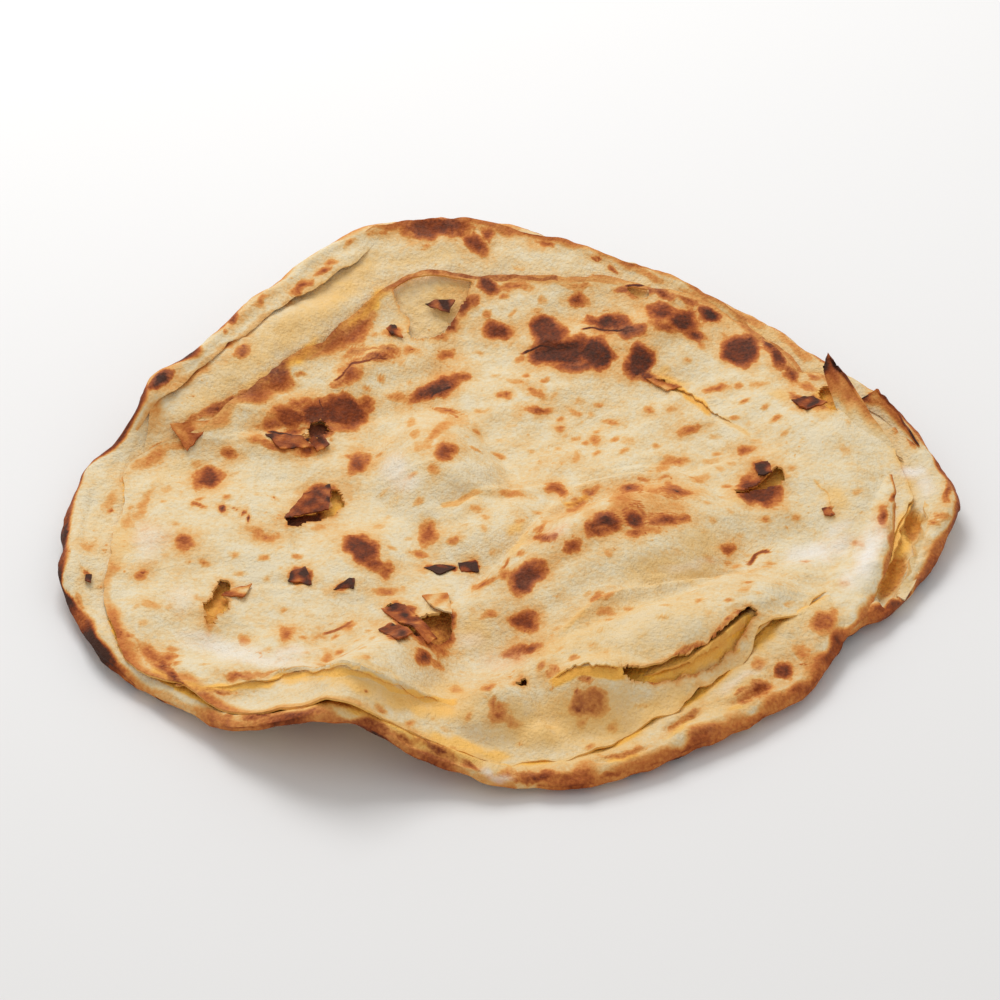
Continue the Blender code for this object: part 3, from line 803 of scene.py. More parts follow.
# Hollows of the pocket beside the right-hand strip: middle in pixels, width, height, turn, depth.
POCKETS = (
    (914, 525, 17, 28, 8, 3.2), (891, 576, 21, 48, 32, 3.2), (904, 550, 34, 84, 24, 0.8),
)


def splits(angle, reach):
    """Depth of the narrow grooves along the rim."""
    depth = np.zeros_like(reach)
    for from_angle, from_reach, to_angle, to_reach, deep in RIM_SPLITS:
        along = (np.mod(angle, TURN) - from_angle) / (to_angle - from_angle)
        aside = reach - from_reach - (to_reach - from_reach) * along
        ends = smooth_step(SPLIT_ENDS * along) * smooth_step(SPLIT_ENDS * (1 - along))
        depth += deep * ends * np.exp(-((aside / SPLIT_WIDTH) ** 2))
    return depth


def pocket(x, y):
    """Depth of the pocket that gapes between the right-hand strip and the rim's crust."""
    depth = np.zeros_like(x)
    for across, down, wide, tall, turn, deep in POCKETS:
        spot = place_of((across, down), dough_top)[0]
        right, low = (x - spot[0]) / MM_PER_PIXEL, -(y - spot[1]) / MM_PER_PIXEL * math.sin(ELEVATION)
        away = np.hypot(*in_oval(right, low, wide, tall, turn)) + 0.1 * ripple(x, y, 4.5, 19)
        depth = np.maximum(depth, deep * smooth_step(3.4 - 2.6 * away))
    return depth


def lowest_top(x, y, angle, reach):
    """Top of the lowest sheet, tucked up under the skin where that hides it."""
    top = dough_top(x, y) - splits(angle, reach) - pocket(x, y) + relief(x, y, *LOWEST_GRAIN)
    inside = around(SKIN_EDGE, 1, angle) - reach
    tuck = smooth_step((inside - TUCK_INSET) / TUCK_WIDTH)
    swell = np.clip(skin_swell(x, y), 0, None)
    under = skin_ground(x, y) + np.minimum(folds(x, y), 0) - SKIN_THICK - TUCK_GAP - TUCK_SHARE * swell
    floor = underside(angle, reach / around(RIM, 1, angle)) + LEAST_THICK
    top = top + pressed(inside) * np.minimum(skin_relief(x, y) - SKIN_THICK - PRESS_GAP - top, 0)
    return np.maximum(top * (1 - tuck) + tuck * under, floor)


print("rings that show:", SHOWN_RINGS, "and that bend round the rim:", SIDE_RINGS)

# %% Bend the lowest sheet into a closed ball
# Depth of the thin layers that show on the rim's side, and how fast they follow each other.
LAYER_DEPTH, LAYER_TURNS = 0.32, 6.5

stops = np.cumsum([0, HIDDEN_RINGS, SHOWN_RINGS, SIDE_RINGS, UNDER_RINGS])
low_bm, low_along, low_across = new_grid(SECTORS, int(stops[-1]))
low_angle = TURN * low_along
ring = stops[-1] * low_across
side_turn = np.clip((ring - stops[2]) / SIDE_RINGS, 0, 1) * math.pi
share = np.interp(ring, stops, (0, SHOWN_SHARE, 1, 1, 0))
low_rim = around(RIM, 1, low_angle) + ravel(low_angle, 0.8, 1)
side = np.sin(side_turn) * (share > OUTERMOST)
layers = np.sin(LAYER_TURNS * side_turn + 1.3 * edge_ripple(low_angle, 40.0, 33))
layers = layers * np.clip(0.6 + ripple(edge_way(low_angle), 3 * side_turn, 24.0, 34), 0, 1.4)
low_reach = share * (low_rim - RIM_ROUNDING) + RIM_ROUNDING * side + LAYER_DEPTH * layers * side
low_x, low_y = plan_point(low_angle, low_reach)
bottom = underside(low_angle, low_reach / low_rim)
bottom += 0.3 * ripple(low_x, low_y, 9.0, 8) * smooth_step(4 * (share - FLAT_SHARE) - 0.8)
top = lowest_top(low_x, low_y, low_angle, low_reach)
level = bottom + RIM_LEVEL * (top - bottom)
tilt = np.cos(side_turn)
low_z = np.where(tilt >= 0, level + tilt * (top - level), level + tilt * (level - bottom))
write_points(low_bm, np.stack((low_x, low_y, np.maximum(low_z, 0)), axis=1))
bmesh.ops.remove_doubles(low_bm, verts=low_bm.verts, dist=SAME_PLACE)
bmesh.ops.recalc_face_normals(low_bm, faces=low_bm.faces)
lowest = finish("lowest_sheet", low_bm, smooth_angle=70)

# %% [markdown]
# ## Two folded strips
#
# At the far left a strip of the outer layer has folded in over the rim, and at the right another
# has rolled over the skin's edge. Both are narrow bands with a rounded back and a thin free edge.

# %% The strip at the far left
# Angles of its ends, and degrees over which it rises and sinks there.
FAR_FOLD_START, FAR_FOLD_END = 103, 166
FAR_FOLD_RISE, FAR_FOLD_SINK = 14, 6
# Depth that its hidden parts are sunk, height of its round back and fall towards the rim.
SUNK, BACK_HEIGHT, RIM_FALL = 0.5, 0.5, 1.6
# Insets of its outer edge, of its inner edge at least, and of the point where it tapers out.
OUTER_INSET, INNER_INSET, TAPER_INSET = 1.0, 4.0, 2.6


def far_fold_height(x, y, angle, across, width):
    start = smooth_step((angle - FAR_FOLD_START) / FAR_FOLD_RISE)
    ends = start * smooth_step((FAR_FOLD_END - angle) / FAR_FOLD_SINK)
    lift = 0.5 * around(FAR_FOLD, 2, angle) * (1 - across) ** 2
    back = BACK_HEIGHT * np.sqrt(np.clip(across * (1 - across) * 4, 0, 1))
    rise = 2 * SHEET_STEP + lift + back - RIM_FALL * across**3 + SUNK
    return dough_top(x, y) - SUNK + ends * rise + 0.1 * ripple(x, y, 6.0, 45)


def far_fold_inner(angle):
    rim = around(RIM, 1, angle)
    inner = np.minimum(around(FAR_FOLD, 1, angle) + ravel(angle, 0.8, 41), rim - INNER_INSET)
    taper = smooth_step((angle - FAR_FOLD_START) / FAR_FOLD_RISE)
    return inner * taper + (rim - TAPER_INSET) * (1 - taper)


far_fold = ring_sheet(
    "far_fold", (FAR_FOLD_START, FAR_FOLD_END), far_fold_inner,
    lambda angle: around(RIM, 1, angle) - OUTER_INSET + ravel(angle, 0.5, 1),
    far_fold_height, around_cells=210, across_cells=26, thickness=0.6,
)

# %% The strip at the right
NEAR_FOLD_START, NEAR_FOLD_END, NEAR_FOLD_RISE = -36, 6, 12
# Where its crest is reached and where its outer edge turns down, in shares of its width.
CREST_AT, TURN_AT = 0.72, 0.78
CREST_SUNK, TURN_DEPTH, MERGED_DEPTH = 0.25, 2.4, 1.9


def near_fold_height(x, y, angle, across, width):
    merged = 1 - smooth_step((angle - NEAR_FOLD_START) / NEAR_FOLD_RISE)
    crest = around(NEAR_FOLD, 3, angle) * smooth_step(across / CREST_AT) - CREST_SUNK
    curl = -TURN_DEPTH * np.clip((across - TURN_AT) / 0.22, 0, 1) ** 2 * (1 - merged)
    ground = skin_ground(x, y)
    follows = 1 - smooth_step(across / 0.5)
    base = ground + (skin_top(x, y) - ground) * follows + 0.1 - MERGED_DEPTH * merged
    return base + crest * (1 - merged) + curl + 0.14 * ripple(x, y, 7.0, 55) * smooth_step(across / 0.3)


near_fold = ring_sheet(
    "near_fold", (NEAR_FOLD_START, NEAR_FOLD_END),
    lambda angle: around(NEAR_FOLD, 1, angle) + ravel(angle, 0.2, 51),
    lambda angle: around(NEAR_FOLD, 2, angle) + ravel(angle, 0.35, 61),
    near_fold_height, around_cells=150, across_cells=36, thickness=0.9,
)

# %% [markdown]
# ## Flaps and flakes
#
# Where a layer has torn free it stands up as a pointed flap, and small pieces of burnt crust lie
# loose on the skin. A flap is a grid whose bottom row follows the skin and whose top row tapers to
# a point. A flake is a small grid stretched between four corners. Both are painted while they are
# still flat, because then every point knows how far it is from the edges.

# %% Grids painted while flat
def patch(name, place, paint, columns, rows, thickness):
    """A small sheet: place and paint, if any, work on a grid from 0 to 1 along both sides."""
    bm, along, up = new_grid(columns, rows)
    points = np.stack(place(along, up), axis=1)
    for title, values in zip(("toast", "ghee", "flour"), paint(along, up, points) if paint else ()):
        layer = bm.verts.layers.float.new(title)
        for vertex, value in zip(bm.verts, np.clip(values, 0, 1).tolist()):
            vertex[layer] = value
    write_points(bm, points)
    face_up(bm)
    return finish(name, bm, thickness)


print("a patch is painted with toast, ghee and flour")

# %% Standing flaps
# Pixels along the foot, pixels and lifts along the free edge, darkness there, and bulge.
FLAPS = {
    "pointed_flap": (
        ((838, 414), (856, 428), (878, 443), (903, 459)),
        ((823, 371, 8.6), (826, 356, 11.0), (831, 361, 10.4), (842, 375, 8.6)), 0.86, 1.5),
    "rim_flap": (
        ((858, 404), (880, 416), (900, 434), (919, 449)),
        ((862, 398, 1.0), (877, 389, 3.6), (896, 411, 2.6), (917, 444, 0.8)), 0.8, 0.5),
}
FOOT_SUNK, FLAP_LENGTH = 0.4, 60


def space_line(pixels, lifts):
    """Points in space along a line of pixels, lifted over the skin."""
    spots = [place_of(pixel, lambda x, y: skin_relief(x, y) + lift)[0] for pixel, lift in zip(pixels, lifts)]
    spots = np.array(spots)
    heights = skin_relief(spots[:, 0], spots[:, 1]) + lifts
    return np.column_stack((spots, heights))


def read_line(points, t):
    knots = np.linspace(0, 1, len(points))
    return np.stack([np.interp(t, knots, column) for column in points.T], axis=1)


def flap(name, foot, free, dark, bulge):
    """A sheet that stands up from its foot, bulges outwards and frays at its free edge."""
    low = space_line(foot, np.full(len(foot), -FOOT_SUNK))
    high = space_line([row[:2] for row in free], np.array([row[2] for row in free], float))
    seed = 100 + len(name)

    def place(along, up):
        start, end = read_line(low, along), read_line(high, along)
        points = start + (end - start) * up[:, None]
        swell = bulge * np.sin(math.pi * along) * up * (1.4 - up)
        fringe = up**6 * ripple(FLAP_LENGTH * along, 0 * along, 9.0, seed)
        points[:, 0] += 0.5 * swell + 0.15 * fringe
        points[:, 1] += 0.8 * swell + 0.15 * fringe
        points[:, 2] += 0.12 * fringe + 0.25 * ripple(points[:, 0], points[:, 1], 7.0, seed + 1) * up
        return points.T

    def paint(along, up, points):
        blotch = 0.1 * ripple(points[:, 0], points[:, 2], 6.0, 103)
        border = np.maximum(smooth_step((up - 0.5) / 0.5), 0.8 * smooth_step((0.16 - along) / 0.16) * up)
        face = 0.62 * smooth_step((up - 0.12) / 0.5)
        return dark * np.maximum(border, face) + blotch * (0.3 + up), 0.3 * (1 - up), 0 * up

    return patch(name, place, paint, columns=40, rows=24, thickness=0.6)


flaps = [flap(name, *row) for name, row in FLAPS.items()]

# %% [markdown]
# ## Torn layers
#
# In three places a second thin layer lies on the skin with a torn free edge, and in the mouth and the
# pocket torn layers show inside. Each is a long narrow grid: one long side follows the free edge,
# the other is sunk in the sheet below, so that it seems to grow out of it.

# %% Sheets that lie over the skin
# Pixels along the free edge, pixels along the edge that is sunk in the skin, lift of the free edge.
OVER_SHEETS = {
    "wave_sheet": (
        ((176, 682), (202, 688), (235, 687), (267, 683), (283, 676), (303, 673), (330, 672), (353, 671),
         (372, 677), (393, 688), (413, 695), (433, 700), (461, 703)),
        ((186, 664), (210, 668), (240, 666), (268, 660), (288, 650), (308, 644), (330, 640), (352, 640),
         (374, 650), (396, 662), (418, 670), (440, 676), (468, 684)), 0.8),
    "overhang_sheet": (
        ((648, 376), (660, 382), (676, 388), (692, 396), (706, 408), (722, 419), (741, 430)),
        ((668, 352), (680, 356), (696, 362), (712, 372), (728, 386), (744, 398), (758, 410)), 0.9),
    "mouth_lip": (
        ((550, 681), (562, 674), (574, 669), (586, 666), (598, 667), (612, 669), (626, 668)),
        ((545, 664), (560, 658), (574, 654), (588, 652), (602, 651), (616, 651), (628, 650)), 0.8),
}
# Length in millimetres that a torn edge's waves are laid along, and width of its browned border.
TORN_LENGTH, BORDER_WIDTH = 120, 0.14


def over_sheet(name, free, sunk, lift, ground=skin_relief, top=skin_top, rag=1.0, dark=None, ghee=0.0):
    """A torn layer. One without darkness of its own is painted later, like the skin."""
    edge, root = place_of(free, ground), place_of(sunk, ground)
    seed = 140 + len(name)

    def place(along, up):
        start, end = read_line(edge, along), read_line(root, along)
        towards = (end - start) / np.linalg.norm(end - start, axis=1)[:, None]
        way, flat = TORN_LENGTH * along, 0 * along
        waves = ripple(way, flat, 15.0, seed) + 0.25 * ripple(way, flat, 5.0, seed + 2)
        wander = rag * (1 - up) ** 4 * waves
        spot = start + (end - start) * up[:, None] + 0.25 * towards * wander[:, None]
        x, y = spot.T
        ends = smooth_step(6 * np.minimum(along, 1 - along))
        rise = (lift + SUNK) * ends * (1 - up) ** 1.5 - SUNK
        return x, y, top(x, y) + rise

    def paint(along, up, points):
        uneven = 1 + 0.8 * ripple(TORN_LENGTH * along, 0 * along, 26.0, seed + 1)
        width = BORDER_WIDTH * np.clip(uneven, 0.1, 3)
        return dark * smooth_step(1.5 - up / width), ghee + 0 * up, 0 * up

    return patch(name, place, paint if dark else None, columns=150, rows=26, thickness=0.45)


over_sheets = [over_sheet(name, *row) for name, row in OVER_SHEETS.items()]

# %% Sheets inside the mouth and the pocket
# As before, and then how ragged the free edge is, its toast, and the sheet's ghee: amber tint
# with painted glow inside the shaded mouth and pocket.
INNER_SHEETS = {
    "mouth_sheet": (
        ((632, 679), (656, 675), (676, 671), (690, 666), (702, 662), (714, 655), (724, 648), (734, 639),
         (742, 631), (752, 622)),
        ((634, 664), (656, 656), (672, 650), (690, 644), (704, 636), (716, 626), (728, 616), (738, 606),
         (748, 603), (756, 606)), 1.5, 0.7, 0.32, 0.9),
    "pocket_sheet": (
        ((913, 497), (911, 507), (906, 519), (900, 531), (900, 541), (896, 549), (891, 561), (885, 572),
         (880, 584), (873, 598)),
        ((894, 490), (891, 505), (886, 520), (881, 535), (879, 545), (875, 555), (870, 565), (864, 575),
         (860, 585), (854, 596)), 0.9, 0.7, 0.15, 0.85),
    "pocket_crust": (
        ((928, 496), (923, 508), (926, 517), (921, 527), (921, 537), (913, 545), (914, 555), (909, 564),
         (908, 574), (902, 584), (897, 594)),
        ((941, 500), (939, 512), (937, 522), (935, 532), (931, 542), (927, 552), (923, 562), (919, 572),
         (915, 582), (910, 590), (905, 598)), 0.7, 0.8, 0.2, 0.35),
}


def under_skin(x, y):
    """Top of the sheet below the skin, near enough."""
    return np.minimum(middle_ground(x, y), skin_relief(x, y) - SKIN_THICK - CLEAR)


inner_sheets = [
    over_sheet(name, free, sunk, lift, under_skin, under_skin, *rest)
    for name, (free, sunk, lift, *rest) in INNER_SHEETS.items()
]

# %% Loose flakes
# Four corners in pixels, lift of the first and last edge, and darkness at each.
FLAKES = {
    "flake_by_the_left_hole": (((287, 580), (292, 571), (306, 567), (312, 585)), 0.5, 1.2, 0.84, 0.78),
    "small_dark_flake": (((333, 588), (350, 577), (354, 578), (354, 588)), 0.4, 1.0, 0.9, 0.86),
    "black_flake": (((424, 567), (440, 563), (456, 567), (440, 574)), 0.4, 0.9, 1.0, 0.97),
    "black_flake_end": (((458, 562), (476, 560), (479, 571), (461, 571)), 0.4, 0.9, 0.75, 0.98),
    "broken_strip": (((381, 610), (405, 606), (437, 642), (428, 647)), 0.8, 2.2, 0.74, 0.6),
    "broken_strip_below": (((378, 630), (390, 623), (413, 636), (398, 642)), 0.6, 1.4, 0.76, 0.68),
    "pale_flake": (((422, 596), (448, 593), (452, 617), (436, 612)), 0.6, 2.8, 0.35, 0.12),
    "left_flap": (((170, 424), (217, 420), (200, 437), (187, 453)), 0.3, 1.4, 0.46, 0.6),
    "window_flake": (((425, 305), (437, 300), (455, 301), (449, 314)), 0.5, 1.2, 0.82, 0.8),
    "window_corner": (((384, 325), (394, 322), (403, 338), (392, 335)), 0.4, 2.0, 0.88, 0.6),
    "left_patch_flake": (((266, 434), (300, 437), (314, 448), (280, 450)), 0.2, 0.5, 0.72, 0.6),
    "left_patch_flap": (((308, 441), (324, 436), (329, 446), (318, 453)), 0.2, 0.6, 0.85, 0.66),
    "left_hole_flake": (((284, 519), (304, 494), (331, 486), (329, 511)), 0.3, 1.0, 0.72, 0.74),
    "amber_strip_flake": (((221, 596), (232, 589), (252, 586), (244, 599)), 0.5, 1.8, 0.5, 0.4),
    "right_window_flake": (((754, 464), (768, 461), (772, 475), (758, 478)), 0.8, 2.4, 0.8, 0.85),
    "right_slit_flake": (((822, 508), (830, 506), (835, 515), (825, 516)), 0.5, 1.4, 0.75, 0.6),
    "overhang_flake": (((646, 378), (654, 377), (682, 387), (668, 391)), 0.6, 1.6, 0.55, 0.45),
    "flap_shard": (((792, 400), (812, 396), (827, 404), (806, 411)), 0.4, 1.4, 0.84, 0.7),
    "rim_flake_a": (((86, 573), (92, 574), (91, 582), (85, 581)), 0.4, 0.8, 0.85, 0.9),
}
# Least gap under a flake, and how far its borders wander across and along the line of sight.
FLAKE_GAP, FLAKE_RAG = 0.15, (0.1, 0.16)


def flake(name, corners, lift_from, lift_to, dark_from, dark_to):
    """A chip of crust between four corners, laid on the skin so that it never dips into it."""
    a, b, c, d = place_of(corners, lambda x, y: skin_relief(x, y) + 0.5)
    za, zb, zc, zd = skin_relief(*np.array((a, b, c, d)).T)
    seed = 110 + len(name)

    def place(along, up):
        low, high = a + (b - a) * along[:, None], d + (c - d) * along[:, None]
        spot = low + (high - low) * up[:, None]
        from_border = np.minimum(np.minimum(along, 1 - along), np.minimum(up, 1 - up))
        rag = np.exp(-14 * from_border)
        x, y = [spot[:, i] + rag * FLAKE_RAG[i] * ripple(*spot.T, 3.0, seed + i) for i in (0, 1)]
        low_z, high_z = za + (zb - za) * along, zd + (zc - zd) * along
        chip = low_z + (high_z - low_z) * up + 0.4 * lift_from + 0.6 * (lift_to - lift_from) * up**1.6
        ground = skin_top(x, y) + FLAKE_GAP
        chip = chip + 0.7 * np.clip((ground - chip).max(), 0, 1.2)
        return x, y, np.maximum(chip, ground)

    def paint(along, up, points):
        blotch = 0.1 * ripple(points[:, 0], points[:, 1], 5.0, seed + 3)
        return dark_from + (dark_to - dark_from) * up + blotch, 0 * up, 0 * up

    return patch(name, place, paint, columns=18, rows=12, thickness=0.45)


flakes = [flake(name, *row) for name, row in FLAKES.items()]

# %% [markdown]
# ## Baking
#
# The oven browns what touches its hot wall or stands up: blisters, folds, free edges and the rim.
# The marks are part of this bread's likeness, so each one is read from the photo: its middle, its
# width and height in pixels, its turn, and how dark it got. The marks are stored on the mesh points
# as two attributes, mark and mark_darkness. The material later turns them into toast, turns toast
# into colour and frays their borders.

# %% Marks on the skin
# Middle across and down, width, height, turn in degrees, and darkness from 0 to 1.
SKIN_MARKS = {
    "far band": (
        (485, 285, 30, 22, 40, .78), (468, 305, 18, 26, 30, .74), (452, 322, 20, 26, 35, .7),
        (440, 334, 24, 12, 20, .6), (514, 287, 35, 11, -8, .62), (541, 271, 12, 6, 0, .4),
        (579, 286, 28, 6, 4, .5), (581, 300, 26, 17, 5, .72), (541, 312, 12, 7, 0, .35),
        (496, 331, 38, 26, -5, .75), (566, 283, 20, 6, 0, .35),
        (447, 356, 22, 12, -5, .62), (428, 270, 46, 14, -8, .68), (400, 290, 14, 12, 0, .6),
        (410, 281, 36, 10, -20, .72), (398, 331, 16, 12, 10, .75), (470, 275, 50, 7, 0, .6)),
    "dark group": (
        (548, 334, 44, 32, 30, .78), (560, 352, 70, 34, -4, .81), (598, 354, 40, 38, 10, .81),
        (580, 345, 44, 22, 0, .76), (575, 366, 70, 16, 0, .75), (606, 324, 58, 20, 4, .82),
        (632, 330, 42, 18, 6, .8), (638, 362, 34, 42, 20, .81), (648, 378, 40, 16, 10, .78),
        (668, 383, 26, 8, 5, .6), (662, 294, 34, 12, 22, .8), (684, 302, 24, 9, 20, .78),
        (624, 288, 22, 7, -10, .74), (640, 291, 26, 14, 0, .6), (660, 312, 40, 18, 10, .8),
        (684, 320, 42, 22, 25, .8), (697, 334, 30, 18, 40, .79), (668, 326, 44, 14, 10, .7),
        (711, 314, 34, 16, 22, .95), (740, 350, 42, 34, 25, .8), (768, 345, 16, 28, -35, .8),
        (780, 358, 20, 26, -30, .8), (791, 374, 16, 24, -10, .78), (749, 316, 22, 12, 25, .6)),
    "behind the middle": (
        (716, 390, 26, 10, -8, .62), (757, 383, 20, 8, 0, .35), (649, 407, 12, 10, 0, .5),
        (673, 411, 10, 8, 0, .35), (690, 427, 30, 10, -8, .6), (679, 464, 26, 11, -10, .55),
        (710, 461, 14, 6, 0, .3), (746, 450, 21, 14, 0, .6), (701, 477, 20, 10, 0, .35),
        (503, 397, 14, 9, 0, .62), (538, 409, 32, 11, 3, .75), (537, 392, 26, 8, 18, .6),
        (516, 381, 22, 5, 18, .35), (574, 412, 16, 7, 0, .4), (581, 401, 12, 7, 0, .25),
        (600, 404, 13, 8, 0, .52), (561, 430, 13, 9, 0, .5), (576, 440, 10, 7, 0, .42),
        (595, 440, 12, 8, 0, .48), (611, 424, 17, 9, -8, .45), (574, 458, 10, 12, 0, .35),
        (480, 412, 22, 6, 0, .35), (627, 443, 16, 10, 0, .2), (669, 462, 20, 16, 0, .4),
        (662, 468, 14, 8, 0, .4), (730, 464, 12, 6, 0, .25), (764, 468, 18, 10, 0, .6)),
    "round blister": (
        (447, 450, 26, 18, -40, .72), (437, 434, 42, 12, -42, .42), (434, 471, 16, 14, 0, .45),
        (414, 432, 12, 9, 0, .38), (444, 411, 30, 5, 8, .6), (478, 434, 12, 7, 30, .38),
        (408, 422, 8, 7, 0, .3), (420, 446, 20, 10, -40, .3), (455, 420, 30, 12, 15, .25),
        (360, 463, 26, 20, -10, .68), (352, 470, 14, 10, 0, .6), (369, 456, 14, 10, 0, .5)),
    "left patch": (
        (345, 411, 56, 34, 5, .74), (316, 412, 40, 26, -8, .76), (290, 416, 44, 26, 10, .66),
        (300, 402, 30, 12, -20, .62), (270, 424, 30, 16, -10, .62), (256, 440, 22, 12, 0, .5),
        (282, 446, 44, 14, 12, .7), (306, 450, 34, 14, 5, .74), (322, 430, 26, 20, 0, .75),
        (293, 434, 26, 12, 0, .75), (366, 402, 18, 16, 0, .66), (372, 409, 12, 12, 0, .7),
        (345, 425, 40, 16, 0, .6), (438, 388, 62, 22, -24, .8), (420, 399, 34, 12, -20, .7),
        (400, 397, 30, 11, 0, .45), (460, 379, 20, 12, -10, .7), (349, 373, 32, 22, -25, .62),
        (376, 358, 46, 11, -10, .77), (340, 382, 24, 12, -30, .7), (388, 350, 30, 9, 0, .72),
        (357, 352, 26, 8, -22, .6), (410, 352, 20, 9, 0, .5), (300, 375, 14, 7, -20, .5),
        (391, 330, 14, 8, 0, .5), (354, 332, 56, 24, -42, .6)),
    "left side": (
        (313, 504, 58, 20, -28, .78), (318, 492, 34, 16, -30, .78), (296, 514, 26, 12, -10, .76),
        (330, 488, 14, 14, 0, .75), (206, 478, 34, 22, -10, .74), (199, 484, 20, 14, 0, .7),
        (230, 454, 18, 13, 0, .66), (202, 505, 18, 6, 0, .62), (184, 542, 24, 16, 5, .62),
        (267, 534, 38, 12, 8, .5), (252, 530, 18, 9, 0, .3), (143, 574, 16, 18, 20, .5),
        (300, 575, 24, 20, 10, .77), (344, 584, 22, 10, -12, .79), (360, 549, 44, 28, 22, .78),
        (376, 564, 34, 14, 18, .74), (351, 540, 24, 14, 0, .76), (388, 572, 14, 10, -20, .76),
        (239, 592, 14, 12, 0, .5), (242, 640, 12, 12, 0, .42), (286, 611, 10, 6, 0, .4),
        (286, 634, 20, 18, 0, .6), (347, 626, 22, 9, -18, .55), (318, 637, 12, 5, 0, .3),
        (327, 658, 14, 10, 0, .52), (366, 658, 12, 6, 0, .35), (322, 665, 16, 4, 0, .4),
        (166, 657, 20, 15, 15, .6), (239, 676, 34, 9, 4, .6), (365, 689, 7, 6, 0, .65),
        (400, 690, 6, 5, 0, .6), (275, 499, 5, 4, 0, .76), (150, 604, 26, 8, 0, .3),
        (128, 634, 20, 9, 20, .55), (190, 560, 8, 5, 0, .4), (320, 528, 20, 8, 0, .4),
        (222, 508, 6, 7, 0, .95), (232, 510, 6, 4, 0, .8), (240, 514, 5, 8, 30, .95),
        (246, 521, 5, 9, -20, .95), (251, 528, 4, 4, 0, .8)),
    "left crust": (
        (176, 678, 66, 15, 30, .8), (148, 655, 40, 16, 46, .55), (214, 690, 40, 8, 6, .62),
        (160, 664, 20, 14, 40, .72)),
    "left streaks": (
        (150, 459, 52, 13, -32, .44), (182, 445, 26, 10, -30, .5), (142, 508, 12, 44, 30, .36),
        (128, 520, 10, 30, 20, .34), (165, 490, 12, 10, 0, .25), (112, 566, 16, 14, 20, .4)),
    "saddle and middle": (
        (513, 492, 28, 10, 8, .55), (558, 490, 26, 15, 20, .7), (426, 535, 19, 26, 5, .62),
        (420, 553, 18, 8, 0, .6), (478, 508, 16, 8, 0, .4), (483, 516, 10, 6, 0, .35),
        (437, 568, 26, 8, 8, 1.0), (448, 569, 16, 8, 0, .97), (471, 566, 16, 12, 20, .75),
        (476, 565, 5, 12, 10, .97), (462, 540, 10, 6, 0, .2), (382, 527, 16, 6, 0, .25)),
    "long blister": (
        (590, 494, 26, 8, -30, .6), (577, 503, 34, 12, -28, .62), (607, 521, 32, 22, 15, .8),
        (596, 525, 16, 16, 0, .76), (600, 531, 26, 14, 0, .74), (628, 491, 28, 12, 5, .78),
        (644, 480, 16, 6, 10, .55), (638, 517, 22, 26, -30, .78), (634, 532, 22, 14, 10, .7),
        (665, 518, 30, 14, 0, .75), (683, 520, 20, 12, 0, .7), (650, 530, 30, 10, 0, .5),
        (676, 491, 36, 14, 5, .72), (655, 493, 14, 8, 0, .5), (660, 478, 20, 5, 0, .5),
        (572, 546, 26, 14, -28, .77), (548, 537, 22, 12, -10, .75), (541, 526, 16, 8, -45, .55),
        (528, 577, 50, 27, -34, .77), (504, 577, 20, 14, -20, .55), (484, 585, 24, 8, -32, .6),
        (503, 563, 20, 5, -50, .6), (525, 621, 34, 23, 0, .7), (532, 617, 18, 12, 0, .72),
        (521, 650, 44, 14, -14, .72), (487, 612, 22, 10, -10, .55), (608, 552, 14, 10, 20, .4),
        (620, 507, 30, 40, 0, .35), (652, 508, 80, 50, 0, .22), (608, 597, 22, 9, -20, .45),
        (597, 597, 16, 8, -30, .5), (556, 630, 8, 4, 0, .3)),
    "open blister": (
        (605, 611, 26, 10, -12, .52), (729, 548, 19, 18, 10, .64), (729, 565, 9, 10, 0, .45),
        (556, 668, 14, 11, 0, .6), (549, 674, 14, 7, 0, .5), (767, 567, 16, 4, -10, .35),
        (692, 650, 38, 9, -22, .68), (716, 633, 34, 10, -38, .62), (728, 622, 20, 9, -45, .6),
        (676, 657, 14, 5, -10, .6), (742, 614, 13, 10, 20, .78), (745, 587, 9, 7, 0, .25),
        (671, 635, 10, 5, 0, .3), (774, 600, 7, 5, 0, .2)),
    "right window": (
        (759, 490, 50, 32, 12, .76), (748, 486, 28, 16, -10, .74), (766, 502, 30, 12, 5, .74),
        (775, 480, 16, 20, 0, .75), (763, 468, 18, 10, 0, .77), (790, 468, 8, 8, 0, .3),
        (844, 449, 16, 8, 30, .25), (829, 511, 10, 9, 0, .72), (809, 402, 36, 14, 8, .78),
        (822, 407, 16, 10, 0, .76), (796, 398, 20, 10, 15, .76), (806, 387, 34, 8, 20, .5),
        (814, 376, 18, 8, 20, .6), (845, 425, 10, 6, 40, .2)),
    "near": (
        (501, 712, 28, 18, -20, .57), (493, 705, 14, 14, 0, .58), (512, 720, 18, 12, 0, .5),
        (486, 690, 26, 9, -18, .58), (469, 717, 8, 14, 15, .55), (521, 746, 6, 5, 0, .7),
        (583, 678, 18, 7, 3, .66), (590, 703, 42, 34, -20, .57), (580, 709, 24, 20, 0, .62),
        (580, 724, 12, 12, 0, .5), (655, 679, 30, 6, 2, .66), (668, 675, 18, 6, -10, .66),
        (693, 673, 24, 7, -10, .5), (715, 660, 14, 5, -35, .77), (640, 704, 26, 7, -8, .3),
        (457, 690, 14, 6, 10, .4), (560, 700, 18, 10, 0, .2), (430, 718, 9, 4, 0, .4)),
    "broken crust": (
        (408, 620, 50, 22, 38, .8), (424, 636, 30, 18, 45, .76), (397, 633, 32, 10, 20, .8),
        (437, 634, 36, 34, 10, .75), (448, 622, 20, 26, 0, .7), (421, 657, 22, 14, 35, .8),
        (436, 664, 24, 10, 30, .5), (408, 607, 14, 5, 10, .78), (446, 602, 10, 10, 0, .5),
        (384, 590, 30, 10, -5, .5), (404, 588, 10, 5, 0, .35), (440, 650, 30, 12, 20, .6)),
}

